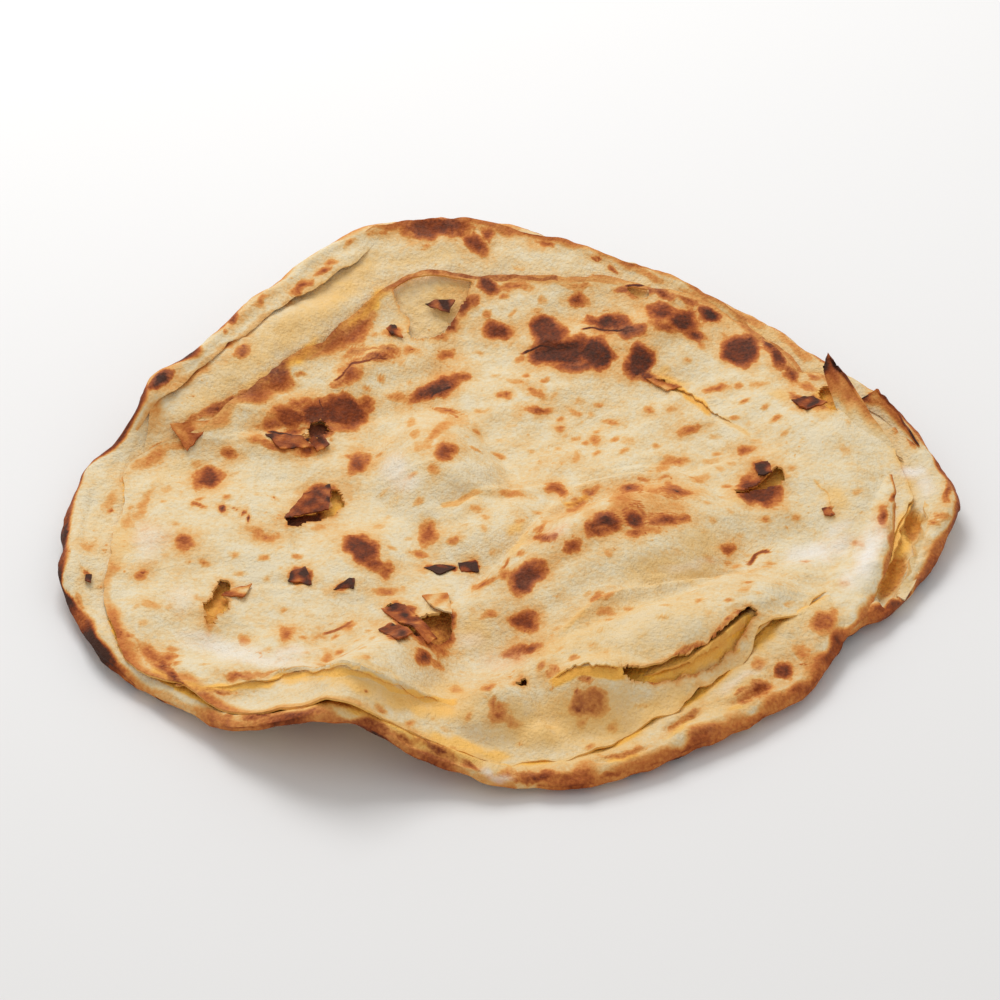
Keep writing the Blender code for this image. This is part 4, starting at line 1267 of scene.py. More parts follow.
# Marks on the sheets that show beyond the skin, and on the rim's crust.
RIM_MARKS = {
    "far rim": (
        (434, 227, 84, 26, -4, .74), (448, 232, 40, 14, 10, .77), (474, 244, 34, 18, 40, .75),
        (487, 234, 20, 14, 20, .72), (545, 243, 26, 12, 6, .68), (599, 258, 14, 6, 15, .76),
        (613, 271, 10, 7, 20, .72), (590, 277, 5, 4, 0, .8), (381, 230, 30, 10, -12, .56),
        (400, 222, 30, 8, -6, .5), (520, 268, 12, 5, 0, .3), (425, 246, 20, 6, 0, .4),
        (510, 226, 30, 8, 10, .4), (350, 240, 16, 8, -30, .5), (640, 272, 24, 7, 20, .4),
        (655, 279, 26, 8, 24, .5), (700, 298, 50, 8, 24, .42), (748, 318, 50, 9, 28, .5),
        (796, 348, 54, 9, 38, .46), (836, 376, 30, 8, 42, .4)),
    "left rim": (
        (163, 378, 30, 20, -42, .97), (154, 388, 14, 10, -50, .8), (320, 271, 22, 8, -25, .7),
        (302, 287, 24, 14, -32, .7), (330, 262, 16, 7, -20, .5), (235, 318, 16, 12, -35, .77),
        (240, 351, 24, 11, -38, .66), (308, 373, 14, 8, -35, .55), (225, 332, 10, 8, 0, .5),
        (212, 412, 60, 13, -24, .74), (236, 400, 34, 12, -26, .7), (196, 436, 34, 14, -20, .7),
        (152, 456, 46, 14, -30, .68), (176, 447, 24, 10, -30, .6), (150, 489, 34, 10, -42, .5),
        (132, 505, 16, 10, -60, .5), (126, 480, 16, 9, -50, .55), (110, 500, 14, 20, 20, .35),
        (87, 577, 9, 8, 0, .79), (105, 586, 6, 4, 0, .7), (125, 627, 6, 4, 0, .8),
        (114, 510, 6, 6, 0, .7), (158, 604, 4, 3, 0, .76), (190, 394, 4, 3, 0, .76),
        (90, 545, 20, 12, 0, .3), (78, 600, 12, 20, 10, .5), (262, 300, 24, 8, -35, .5)),
    "right rim": (
        (825, 623, 32, 27, -10, .54), (832, 612, 16, 10, 0, .46), (800, 651, 19, 14, 10, .48),
        (786, 671, 26, 22, 10, .74), (757, 690, 40, 17, -18, .68), (744, 697, 30, 8, -20, .6),
        (760, 662, 20, 16, 0, .4), (806, 662, 12, 3, -10, .7),
        (884, 515, 12, 26, 15, .74), (893, 497, 12, 10, 0, .7), (858, 543, 12, 6, -20, .35),
        (942, 515, 20, 12, 0, .56), (948, 492, 12, 22, 10, .7), (932, 524, 14, 8, 0, .5),
        (880, 396, 18, 8, 40, .72), (900, 425, 12, 20, 35, .66), (912, 440, 12, 12, 0, .7),
        (906, 597, 20, 10, -35, .78), (877, 626, 22, 8, -10, .78), (936, 556, 8, 26, -35, .66),
        (847, 585, 12, 5, 0, .25), (842, 640, 10, 10, 0, .4)),
    "near rim": (
        (538, 776, 60, 14, 0, .78), (505, 772, 20, 10, 0, .5), (470, 765, 22, 10, 30, .76),
        (437, 748, 60, 15, 26, .74), (400, 738, 40, 10, 28, .7), (345, 702, 30, 8, 8, .66),
        (300, 704, 40, 12, -8, .72), (262, 714, 50, 12, -12, .74), (228, 720, 20, 8, -5, .6),
        (610, 776, 60, 9, -8, .66), (660, 764, 60, 9, -22, .62), (712, 744, 60, 9, -26, .62),
        (770, 718, 60, 9, -32, .64), (818, 682, 40, 10, -45, .66),
        (686, 718, 44, 8, -34, .6), (622, 753, 56, 8, -14, .56), (735, 722, 10, 5, 0, .8),
        (740, 692, 30, 5, -20, .6)),
}
print("marks:", sum(len(g) for g in (*SKIN_MARKS.values(), *RIM_MARKS.values())))

# %% [markdown]
# ## Cracks and creases in colour
#
# A crack is thinner than a cell of the mesh, so its darkness can't be stored point by point. Its
# signed distance can: it runs evenly through zero on the line, and the material draws the crack
# wherever the distance is small. Each line's strength fades at its two ends. A line's darkness is
# partly browned crust and partly painted shade, in a crack, at the foot of a fold and under an
# overhanging edge; its amber is painted glow of light through the thin sheets.

# %% Lines
# Pixels along a line, half width in millimetres, toast, browning with painted shade, and ghee,
# amber with painted glow.
LINES = {
    "wave edge": (((150, 668), (171, 680), (202, 689), (235, 687), (267, 684), (280, 677), (303, 674),
                   (330, 673), (353, 672), (372, 677), (393, 688), (413, 695), (433, 700), (461, 702)),
                  0.7, 0.12, 0.9),
    "wave edge, browned": (((340, 670), (318, 671), (280, 673), (236, 678)), 0.9, 0.34, 0.2),
    "left end of the mouth": (((548, 686), (562, 678), (576, 672), (592, 671), (610, 673), (628, 672)),
                              1.4, 0.27, 1.0),
    "slit before the near dome": (((592, 760), (612, 755), (630, 751), (647, 746)), 0.3, 0.5, 0.9),
    "foot of the round blister": (((440, 507), (455, 503), (470, 496), (483, 488)), 0.7, 0.3, 0.4),
    "top of the round blister": (((462, 417), (448, 411), (432, 409)), 0.35, 0.42, 0.0),
    "behind the long blister": (((505, 556), (522, 543), (531, 529)), 0.6, 0.1, 0.5),
    "in front of the open blister": (((560, 634), (573, 620), (590, 606)), 0.7, 0.12, 0.5),
    "crack at the right": (((744, 565), (750, 562), (757, 556), (764, 551), (774, 550)), 0.35, 0.72, 0.3),
    "small crack": (((784, 565), (788, 564)), 0.3, 0.7, 0.0),
    "overhang": (((652, 379), (672, 387), (692, 397), (706, 410), (716, 416)), 0.8, 0.25, 0.9),
    "overhang's end": (((716, 416), (738, 428), (752, 436)), 0.5, 0.15, 0.4),
    "far crevice": (((440, 270), (470, 276), (494, 277), (530, 278), (563, 279)), 0.7, 0.62, 0.6),
    "far crevice's end": (((563, 279), (596, 281), (622, 284)), 0.5, 0.35, 0.3),
    "left crevice": (((262, 383), (290, 362), (327, 344), (346, 323), (366, 306), (392, 288)), 0.4, 0.3, 0.8),
    "dark crack": (((518, 354), (530, 349), (545, 347), (562, 350), (579, 346)), 0.35, 0.9, 0.0),
    "right dark crack": (((580, 331), (592, 328), (612, 329), (636, 331)), 0.35, 0.85, 0.5),
    "crease spot": (((426, 400), (438, 392), (455, 383)), 0.4, 0.9, 0.0),
    "left fold": (((332, 384), (352, 364), (378, 357), (392, 358)), 0.3, 0.75, 0.4),
    "upper left fold": (((400, 347), (376, 347), (348, 356)), 0.3, 0.5, 0.6),
    "left patch crack": (((264, 433), (284, 432), (296, 438), (306, 440), (314, 436), (330, 432)),
                         0.35, 0.93, 0.0),
    "left patch split": (((318, 396), (322, 412), (324, 424)), 0.2, 0.85, 0.0),
    "left hole crack": (((283, 517), (300, 514), (324, 511), (338, 508)), 0.3, 0.85, 0.6),
    "long blister crack": (((562, 508), (578, 501), (594, 494)), 0.5, 0.5, 1.0),
    "blister scratch": (((600, 511), (607, 522), (613, 530)), 0.25, 0.1, 0.0),
    "middle line": (((350, 655), (372, 664), (392, 672), (402, 682)), 0.4, 0.1, 0.3),
    "right slit": (((812, 478), (820, 487), (828, 498), (834, 512)), 0.2, 0.25, 0.4),
    "far small crack": (((621, 286), (634, 283), (648, 284)), 0.4, 0.85, 0.2),
    "left valley crack": (((320, 637), (340, 628), (356, 620)), 0.4, 0.6, 0.1),
}

LINE_REACH, LINE_FADE, LINE_SOFT, LINE_MARGIN = 8.0, 1.8, 2.5, 2.6
# Spans that stored distances and half widths are divided by, so that they fit between 0 and 1.
DEPTH_RANGE, WIDEST_HALF = 8.0, 2.0
LINE_SWAY = 22.0


def lines_seen(points):
    """Signed distance from the nearest line, its half width, toast with painted shade and ghee with painted
    glow, fading at its ends.
    """
    signed, half_width = np.full(len(points), DEPTH_RANGE), np.zeros(len(points))
    toast, ghee, best = np.zeros(len(points)), np.zeros(len(points)), np.zeros(len(points))
    across, down = photo_pixel(points).T
    across = across + ripple(across, down, LINE_SWAY, 85)
    down = down + ripple(across, down, LINE_SWAY, 86)
    for pixels, half, dark, amber in LINES.values():
        gap = np.abs(from_line(points[:, 0], points[:, 1], place_of(pixels, skin_relief)))
        near = np.flatnonzero(gap < LINE_REACH)
        gap = MM_PER_PIXEL * from_line(across[near], down[near], np.array(pixels, float))
        ends = [np.hypot(across[near] - end[0], down[near] - end[1]) for end in (pixels[0], pixels[-1])]
        before_end = np.sqrt(np.clip((MM_PER_PIXEL * np.minimum(*ends)) ** 2 - gap**2, 0, None))
        fade = smooth_step(before_end / LINE_FADE) * smooth_step(half + LINE_MARGIN - np.abs(gap))
        score = max(dark, amber) * fade * smooth_step((half + LINE_SOFT - np.abs(gap)) / LINE_SOFT)
        wins = score > best[near]
        chosen = near[wins]
        best[chosen], signed[chosen], half_width[chosen] = score[wins], gap[wins], half
        toast[chosen], ghee[chosen] = dark * fade[wins], amber * fade[wins]
    return 0.5 + signed / DEPTH_RANGE, half_width / WIDEST_HALF, toast, ghee


print("lines:", len(LINES))

# %% Toasting around a mark
# A mark is told by how deep a point lies in it, in millimetres. Depths at which its border, its
# dark core and its golden halo begin and are complete, and the share of each.
BORDER, CORE, HALO = (-0.6, 0.6), (0.2, 2.2), (-3.0, 0.3)
BORDER_SHARE, CORE_SHARE, HALO_SHARE = 0.62, 0.42, 0.22
SMALL_MARK = 1.8
# Sway of the ovals' outlines, across and down: size and wavelength in pixels, and seed.
SWAY = (((1.8, 44.0, 81), (1.0, 15.0, 82)), ((1.4, 44.0, 83), (0.8, 15.0, 84)))


def rim_ground(x, y):
    return dough_top(x, y) + 0.5 * SHEET_STEP


def ovals_seen(points, groups, ground):
    """For each oval of a table: which points are near it, their distance in ovals, and its row."""
    seen = photo_pixel(points).T
    bent = seen.copy()
    for way, waves in zip(bent, SWAY):
        for size, wavelength, seed in waves:
            way += size * ripple(*seen, wavelength, seed)
    rows = np.array([row for group in groups.values() for row in group], float)
    for spot, row in zip(place_of(rows[:, :2], ground), rows):
        middle_across, middle_down, wide, tall, turn, _ = row
        reach = 0.35 * max(wide, 1.6 * tall) + 6
        near = np.flatnonzero(np.hypot(points[:, 0] - spot[0], points[:, 1] - spot[1]) < reach)
        right, low = bent[0][near] - middle_across, bent[1][near] - middle_down
        yield near, np.hypot(*in_oval(right, low, wide, tall, turn)), row


def marks_depth(points, groups, ground):
    """How deep each point lies in the marks, 0.5 on an outline, and how dark they get there."""
    depth, dark = np.full(len(points), -DEPTH_RANGE), np.zeros(len(points))
    best = np.zeros(len(points))
    for near, away, (_, _, wide, tall, _, level) in ovals_seen(points, groups, ground):
        inwards = (1 - away) * max(0.5 * min(wide, tall) * MM_PER_PIXEL, SMALL_MARK)
        border, core, halo = [smooth_step((inwards - a) / (b - a)) for a, b in (BORDER, CORE, HALO)]
        score = level * np.maximum(BORDER_SHARE * border + CORE_SHARE * core, HALO_SHARE * halo)
        wins = score > best[near]
        chosen = near[wins]
        best[chosen], depth[chosen], dark[chosen] = score[wins], inwards[wins], level
    return 0.5 + depth / DEPTH_RANGE, dark


print("a border begins", BORDER[0], "mm and a core", CORE[0], "mm inside a mark's outline")

# %% [markdown]
# ## Browned edges
#
# A free edge stands in the hot air, so it browns in a band. How wide and how dark the band gets
# changes round the bread, and two more small tables say so.

# %% Tables of browned edges
# Angle, width of the browned band in millimetres, darkness.
SKIN_CRUST = (
    (5, 1.0, 0.1), (18, 1.5, 0.2), (27, 2.0, 0.3), (33, 2.0, 0.4), (50, 1.4, 0.4),
    (70, 1.4, 0.45), (90, 1.6, 0.55), (110, 2.0, 0.5), (120, 2.6, 0.5), (135, 4.0, 0.56),
    (148, 4.6, 0.56), (158, 3.0, 0.4), (168, 1.2, 0.05), (185, 1.2, 0.0), (198, 2.0, 0.3),
    (206, 2.6, 0.45), (215, 3.0, 0.5), (224, 2.4, 0.45), (232, 1.6, 0.35), (245, 1.5, 0.25),
    (262, 1.0, 0.2), (275, 0.8, 0.1), (300, 1.0, 0.2), (315, 1.0, 0.15), (335, 1.0, 0.15),
    (350, 1.0, 0.1),
)
RIM_CRUST = (
    (0, 1.4, 0.64), (12, 1.4, 0.6), (22, 1.8, 0.6), (32, 2.0, 0.5), (45, 1.8, 0.55),
    (58, 1.8, 0.55), (70, 1.6, 0.45), (85, 1.6, 0.45), (100, 2.0, 0.5), (112, 2.0, 0.46),
    (125, 1.8, 0.5), (138, 1.8, 0.52), (148, 2.2, 0.6), (154, 2.6, 0.8), (162, 2.2, 0.66),
    (172, 1.4, 0.78), (184, 1.3, 0.8), (193, 1.6, 0.84), (200, 2.0, 1.0), (207, 1.8, 0.98),
    (212, 1.6, 0.7), (216, 1.0, 0.4), (224, 1.0, 0.25), (230, 2.0, 0.45), (238, 2.8, 0.58),
    (246, 2.6, 0.58), (254, 3.0, 0.6), (262, 2.2, 0.55), (268, 1.4, 0.25), (274, 2.6, 0.52),
    (284, 3.0, 0.5), (296, 2.8, 0.5), (308, 2.8, 0.52), (318, 2.6, 0.55), (328, 2.4, 0.6),
    (336, 2.0, 0.66), (344, 1.4, 0.6), (352, 1.3, 0.6),
)


def edge_level(table, angle, inset, seed):
    """Toast of a browned edge band, uneven along the edge and fading inwards."""
    along = edge_way(angle)
    uneven = 1 + 0.4 * ripple(along, inset, 14.0, seed)
    width = around(table, 1, angle) * np.clip(uneven, 0.25, 2.0)
    dark = around(table, 2, angle) * np.clip(1 + 0.16 * ripple(along, inset, 22.0, seed + 1), 0.5, 1.2)
    return np.clip(dark, 0, 1) * smooth_step(1.4 - 0.85 * inset / np.maximum(width, 0.3))


print("darkest crust: skin", max(row[2] for row in SKIN_CRUST), "rim", max(row[2] for row in RIM_CRUST))

# %% [markdown]
# ## Ghee and flour, with painted glow and a painted highlight
#
# Ghee makes a thin sheet see-through and amber, which shows in the gaps, in the creases and where
# the layers part. That amber is also painted glow: light through the thin sheets, painted into
# places that lie in shade. Dry flour leaves white bloom in a few hollows, and the same white paints
# a highlight on the round blister's lit left side. Both are attributes like toast.

# %% Amber places with painted glow, floury places and a painted highlight
# Middle across and down, width, height, turn and strength.
# Amber in creases, along gaps and under overhanging edges is partly the ghee's tint and partly painted glow
# of light through the thin sheets, where shade falls.
AMBER_PLACES = {
    "creases": (
        (465, 500, 56, 10, -18, .35), (440, 507, 24, 8, -10, .3), (516, 529, 26, 10, -20, .7),
        (655, 570, 70, 30, -10, .5), (690, 572, 60, 24, -6, .5), (700, 545, 44, 40, 0, .4),
        (476, 634, 36, 40, 0, .6), (437, 608, 30, 40, 0, .4), (660, 378, 60, 12, 8, .8),
        (903, 540, 26, 76, 14, .9),
        (664, 370, 18, 8, 8, .6), (560, 644, 70, 14, -42, .3), (748, 498, 40, 8, -10, .5),
        (824, 400, 30, 26, 0, .9), (780, 396, 30, 8, 10, .5), (835, 498, 30, 26, 30, .6)),
    "far left band": (
        (340, 288, 100, 38, -36, .62), (290, 330, 140, 40, -36, .5), (225, 380, 110, 28, -36, .4),
        (366, 310, 74, 14, -48, .95), (300, 356, 64, 12, -36, .95), (258, 380, 50, 12, -36, .7),
        (434, 305, 76, 66, 0, .5), (420, 258, 90, 16, -8, .4)),
    "near left": (
        (370, 687, 110, 20, 12, .7), (420, 705, 120, 26, 12, .75), (460, 745, 100, 16, 18, .8),
        (495, 757, 44, 12, 12, .8), (366, 716, 60, 8, 22, .9), (300, 680, 70, 8, -4, .7),
        (524, 714, 40, 20, 20, .5),
        (566, 722, 170, 60, -12, .6), (450, 700, 90, 40, 14, .45), (640, 716, 160, 40, -24, .6),
        (720, 700, 120, 40, -34, .35), (620, 640, 200, 80, -18, .28)),
    "left": (
        (176, 470, 50, 20, -20, .25), (120, 540, 24, 60, 10, .3)),
}
# Full amber inside the tears, the mouth, the pocket and the gaps under torn edges: painted glow that keeps
# these shaded hollows looking lit through the thin sheets.
DEEP_PLACES = {
    "seen through the tears": (
        (215, 606, 40, 60, 20, 1.0), (300, 520, 70, 26, 0, .9), (338, 495, 26, 40, 0, 1.0),
        (655, 662, 240, 60, -14, 1.0), (740, 628, 60, 40, -30, 1.0), (520, 684, 20, 20, 0, 1.0),
        (436, 632, 60, 60, 0, .8), (830, 400, 40, 40, 0, 1.0), (835, 496, 60, 50, 0, 1.0),
        (765, 488, 60, 36, 0, .6), (634, 292, 40, 24, 0, .7), (300, 438, 90, 30, 0, .8),
        (640, 700, 160, 30, -22, .7), (440, 745, 140, 30, 16, .8), (762, 632, 90, 30, -36, .9),
        (914, 525, 22, 34, 8, 1.0), (891, 576, 26, 54, 32, 1.0), (735, 706, 28, 6, -22, .8),
        (680, 728, 40, 7, -30, .8), (622, 757, 50, 8, -14, .9)),
}
# Toast on the sheet that shows in the tears and in the pocket's hollows: browned dough, and
# painted shade at the bottom of these holes.
FLOOR_PLACES = {
    "floors": (
        (318, 432, 26, 18, 0, .78), (304, 519, 50, 12, -4, .8), (333, 496, 12, 20, 0, .45),
        (440, 634, 34, 28, 0, .62), (424, 640, 20, 14, 0, .7), (217, 606, 16, 36, 20, .42),
        (756, 484, 40, 20, -10, .4), (737, 495, 14, 8, 0, .6), (636, 291, 24, 12, 0, .3),
        (520, 682, 14, 10, 0, .6), (913, 526, 16, 26, 8, .48), (893, 577, 17, 42, 32, .46),
        (830, 398, 12, 16, 0, .4), (450, 300, 40, 30, 0, .16), (700, 655, 60, 10, -30, .35)),
}
# White places: dry flour in hollows, and on the round blister's lit left side a painted highlight.
FLOUR_AND_HIGHLIGHT_PLACES = {
    "right": (
        (811, 553, 54, 26, -10, .8), (838, 548, 50, 22, -30, .6), (868, 552, 26, 66, 20, 1.0),
        (852, 580, 24, 26, 20, .6), (914, 473, 30, 16, 0, .9), (924, 486, 20, 20, 0, .5),
        (838, 530, 40, 16, -30, .5), (740, 680, 60, 10, -28, .4)),
    "left": (
        # The rows at (395, 470) and (405, 482) are a painted highlight on the round blister's lit left side.
        (225, 650, 90, 22, 8, .75), (270, 660, 80, 16, 6, .6), (395, 470, 24, 36, 0, .55),
        (405, 482, 30, 20, 0, .45), (150, 540, 40, 40, 0, .4), (200, 636, 50, 16, 10, .5),
        (290, 652, 60, 14, -6, .5), (180, 600, 30, 30, 0, .3)),
    "near": (
        (500, 776, 24, 8, 0, .9), (487, 772, 16, 8, 20, .8), (470, 640, 30, 20, 0, .4),
        (560, 530, 30, 20, -30, .3), (690, 565, 60, 10, -8, .3), (500, 660, 60, 20, 0, .3)),
}


# Where a place ends, in shares of its oval, and how wide its soft edge is for each kind.
PLACE_END = 1.35
AMBER_EDGE, FLOUR_AND_HIGHLIGHT_EDGE, FLOOR_EDGE = 0.9, 1.2, 0.4


def places_level(points, groups, ground, edge=AMBER_EDGE):
    """Strength of soft-edged places."""
    level = np.zeros(len(points))
    for near, away, row in ovals_seen(points, groups, ground):
        level[near] = np.maximum(level[near], row[5] * smooth_step((PLACE_END - away) / edge))
    return level


print("amber places:", sum(len(group) for group in AMBER_PLACES.values()))

# %% Store the marks on the meshes
def hub_places(piece):
    """A finished piece's points from the hub, the slope of their normals, x, y, angle and reach."""
    count = len(piece.data.vertices)
    points, normals = np.empty(3 * count), np.empty(3 * count)
    piece.data.vertices.foreach_get("co", points)
    piece.data.vertices.foreach_get("normal", normals)
    points = points.reshape(-1, 3) / MM - np.array((*HUB, 0))
    x, y = points[:, 0], points[:, 1]
    return points, normals[2::3], x, y, *polar(x, y)


def store(piece, **values):
    for name, value in values.items():
        layer = piece.data.attributes.new(name, "FLOAT", "POINT")
        layer.data.foreach_set("value", np.clip(value, 0, 1).astype(np.float32))


FRECKLE_SIZE, FRECKLE_LEAST, FRECKLE_TOAST = 6.5, 1.25, 0.42
# Toast beside a tear, and amber beside the free edge, the ghee's tint with painted glow of light
# through the thin edge, and how far in each reaches.
TEAR_TOAST, TEAR_REACH = 0.3, 0.9
EDGE_GHEE_AND_GLOW, EDGE_REACH = 0.5, 1.6


def underside_toast(x, y):
    """Browning of the underside, where a hot oven wall touched the dough here and there."""
    patches = ripple(x, y, 46.0, 91) + 0.8 * ripple(x, y, 19.0, 92)
    spots = np.clip(ripple(x, y, 11.0, 93) - 0.7, 0, 1)
    return np.clip(0.2 + 0.24 * patches + 0.5 * spots, 0.02, 0.9)


def sealed(angle):
    """1 where the skin's edge is baked onto the rim, so that no painted amber glow shows in the gap."""
    at = np.mod(angle, TURN)
    return smooth_step((at - 160) / 8) * smooth_step((238 - at) / 10)


def facing_down(slope):
    return smooth_step(-4 * slope)


def skin_paint(piece):
    """Marks of a sheet that lies on top: browned edges and tears, freckles, ghee with painted glow, flour
    with a painted highlight, and lines.
    """
    points, slope, x, y, angle, reach = hub_places(piece)
    inset = around(SKIN_EDGE, 1, angle) + skin_ravel(angle) - reach
    gap, _ = torn(x, y)
    toast = edge_level(SKIN_CRUST, angle, np.clip(inset, 0, None), 24)
    freckled = np.clip(0.6 + ripple(x, y, 40.0, 96), 0, 1)
    freckle = np.clip(ripple(x, y, FRECKLE_SIZE, 95) - FRECKLE_LEAST, 0, 1) * freckled
    toast = np.maximum(toast, FRECKLE_TOAST * freckle)
    beside = TEAR_TOAST * np.exp(-np.clip(gap, 0, None) / TEAR_REACH)
    amber = places_level(points, AMBER_PLACES, skin_relief)
    open_edge = np.exp(-np.clip(inset, 0, None) / EDGE_REACH) * (1 - sealed(angle))
    amber = np.maximum(amber, EDGE_GHEE_AND_GLOW * open_edge)
    # Faces turned down, under a curled edge or a tear's lip, are painted full amber and less toasted: painted
    # glow of light through the thin skin.
    below = facing_down(slope)
    mark, darkness = marks_depth(points, SKIN_MARKS, skin_relief)
    line, half, line_toast, line_ghee = lines_seen(points)
    store(
        piece, toast=np.maximum(toast, beside) * (1 - 0.5 * below), ghee=np.maximum(amber, below),
        flour=places_level(points, FLOUR_AND_HIGHLIGHT_PLACES, skin_relief, FLOUR_AND_HIGHLIGHT_EDGE), mark=mark,
        mark_darkness=darkness * (1 - 0.5 * below), line=line, line_half=half,
        line_toast=line_toast, line_ghee=line_ghee,
    )


def sheet_paint(piece, edge, table, seed, covered, soaked_and_glowing):
    """Marks of a sheet that shows beyond the skin and through its tears."""
    points, slope, x, y, angle, reach = hub_places(piece)
    inset = edge(angle) - reach
    under = around(SKIN_EDGE, 1, angle) - reach
    mark, darkness = marks_depth(points, RIM_MARKS, rim_ground)
    crust = edge_level(table, angle, np.clip(inset, 0, None), seed)
    crust = np.maximum(crust, places_level(points, FLOOR_PLACES, rim_ground, FLOOR_EDGE))
    # Beyond the skin's edge the sheet is painted amber, fading outwards: painted glow in the shaded gap under
    # the edge. Under the skin, where it shows only through the tears, it is amber all over.
    gap = np.exp(-np.clip(-under, 0, None) / covered)
    shown = soaked_and_glowing * (1 - 0.9 * sealed(angle))
    amber = np.where(under > 0, soaked_and_glowing, shown * gap)
    for places in (AMBER_PLACES, DEEP_PLACES):
        amber = np.maximum(amber, places_level(points, places, rim_ground))
    below = facing_down(slope)
    crust = crust + 0.07 * smooth_step(0.5 - 1.5 * slope) * (crust > 0.3)
    toast = crust * (1 - below) + below * np.maximum(underside_toast(x, y), crust)
    flour = places_level(points, FLOUR_AND_HIGHLIGHT_PLACES, rim_ground, FLOUR_AND_HIGHLIGHT_EDGE)
    darkness = darkness * smooth_step(1 - under / 3) * (1 - below)
    store(piece, toast=toast, ghee=amber * (1 - below), flour=flour, mark=mark, mark_darkness=darkness)


def strip_paint(piece, edge, dark):
    """Marks of a folded strip: the rim's marks, and a browned free edge."""
    points, _, x, y, angle, reach = hub_places(piece)
    inset = np.abs(reach - edge(angle))
    mark, darkness = marks_depth(points, RIM_MARKS, rim_ground)
    toast = dark * smooth_step(1.4 - inset / (1.3 + 0.5 * ripple(x, y, 9.0, 97)))
    outer = np.clip(around(RIM, 1, angle) - reach, 0, None)
    toast = np.maximum(toast, edge_level(RIM_CRUST, angle, outer, 26))
    store(piece, toast=toast, ghee=places_level(points, AMBER_PLACES, rim_ground), mark=mark,
          mark_darkness=darkness, flour=places_level(points, FLOUR_AND_HIGHLIGHT_PLACES, skin_ground, FLOUR_AND_HIGHLIGHT_EDGE))


skin_paint(skin)
for piece in over_sheets:
    skin_paint(piece)
sheet_paint(middle, middle_rim, SKIN_CRUST, seed=25, covered=2.2, soaked_and_glowing=0.4)
sheet_paint(lowest, lambda angle: around(RIM, 1, angle), RIM_CRUST, seed=26, covered=2.3, soaked_and_glowing=0.95)
strip_paint(far_fold, lambda angle: around(FAR_FOLD, 1, angle), dark=0.2)
strip_paint(near_fold, lambda angle: around(NEAR_FOLD, 2, angle), dark=0.5)
print("stored on the skin:", [layer.name for layer in skin.data.attributes if layer.domain == "POINT"])

# %% [markdown]
# ## The dough's material
#
# One colour ramp holds the whole story of baking: cream, gold, orange, brown and char. A node group
# frays the toast attribute with noise and reads the ramp, so that all materials brown alike.
# Amber, the ghee's tint with painted glow, and white, flour with a painted highlight, are mixed over
# it. The grain of the dough is a bump from fine noises.

# %% Small helpers for nodes
class Nodes:
    """Adds nodes to a tree and links them in one line each."""

    def __init__(self, tree):
        self.tree = tree

    def add(self, kind, values=None, **settings):
        node = self.tree.nodes.new(kind)
        for name, value in settings.items():
            setattr(node, name, value)
        for name, value in (values or {}).items():
            if isinstance(value, bpy.types.NodeSocket):
                self.tree.links.new(value, node.inputs[name])
            else:
                node.inputs[name].default_value = value
        return node

    def math(self, operation, a, b=0.0, clamp=False):
        return self.add("ShaderNodeMath", {0: a, 1: b}, operation=operation, use_clamp=clamp).outputs[0]

    def plus(self, a, b, clamp=False):
        return self.math("ADD", a, b, clamp)

    def minus(self, a, b, clamp=False):
        return self.math("SUBTRACT", a, b, clamp)

    def times(self, a, b, clamp=False):
        return self.math("MULTIPLY", a, b, clamp)

    def mix(self, factor, a, b):
        return self.add("ShaderNodeMix", {0: factor, 6: a, 7: b}, data_type="RGBA").outputs[2]

    def read(self, attribute):
        return self.add("ShaderNodeAttribute", attribute_name=attribute).outputs["Fac"]

    def place(self):
        return self.add("ShaderNodeTexCoord").outputs["Object"]

    def step(self, value, low, high):
        """0 at low, 1 at high and smooth between."""
        values = {"Value": value, "From Min": low, "From Max": high}
        return self.add("ShaderNodeMapRange", values, interpolation_type="SMOOTHSTEP").outputs["Result"]

    def noise(self, place, size, detail=3.0, rough=0.55):
        """Noise whose blobs are about size metres wide, centred on 0."""
        values = {"Vector": place, "Scale": 1 / size, "Detail": detail, "Roughness": rough}
        return self.minus(self.add("ShaderNodeTexNoise", values).outputs["Fac"], 0.5)

    def noises(self, place, *rows):
        """Sum of noises, told by their strength, size, detail and, if need be, roughness."""
        parts = [self.times(self.noise(place, *row), strength) for strength, *row in rows]
        total = parts[0]
        for part in parts[1:]:
            total = self.plus(total, part)
        return total


def start_group(name, inputs, outputs):
    """A node group with its sockets, a maker of its nodes, its inputs and the shaded place."""
    group = bpy.data.node_groups.new(name, "ShaderNodeTree")
    for title, value in inputs.items():
        made = group.interface.new_socket(name=title, in_out="INPUT", socket_type="NodeSocketFloat")
        made.default_value = value
    for title, kind in outputs.items():
        group.interface.new_socket(name=title, in_out="OUTPUT", socket_type=kind)
    make = Nodes(group)
    return group, make, make.add("NodeGroupInput").outputs, make.place()


print("helpers:", [name for name in vars(Nodes) if not name.startswith("_")])

# %% The marks group
MARK_INPUTS = {
    "Mark": "mark", "Mark Darkness": "mark_darkness", "Line": "line", "Line Half": "line_half",
    "Line Toast And Shade": "line_toast", "Line Ghee And Glow": "line_ghee",
}
# Noise that makes outlines ragged, in millimetres, and how much of it a line takes.
RAGGED, LINE_RAGGED = ((1.9, 0.0042, 3), (0.5, 0.0010, 2)), 0.5
# Depths in a line over which its toast, with painted shade, and its ghee, with painted glow, begin.
LINE_DARKENS, LINE_SOAKS_AND_GLOWS = (-0.3, 0.2), (-1.2, 0.2)

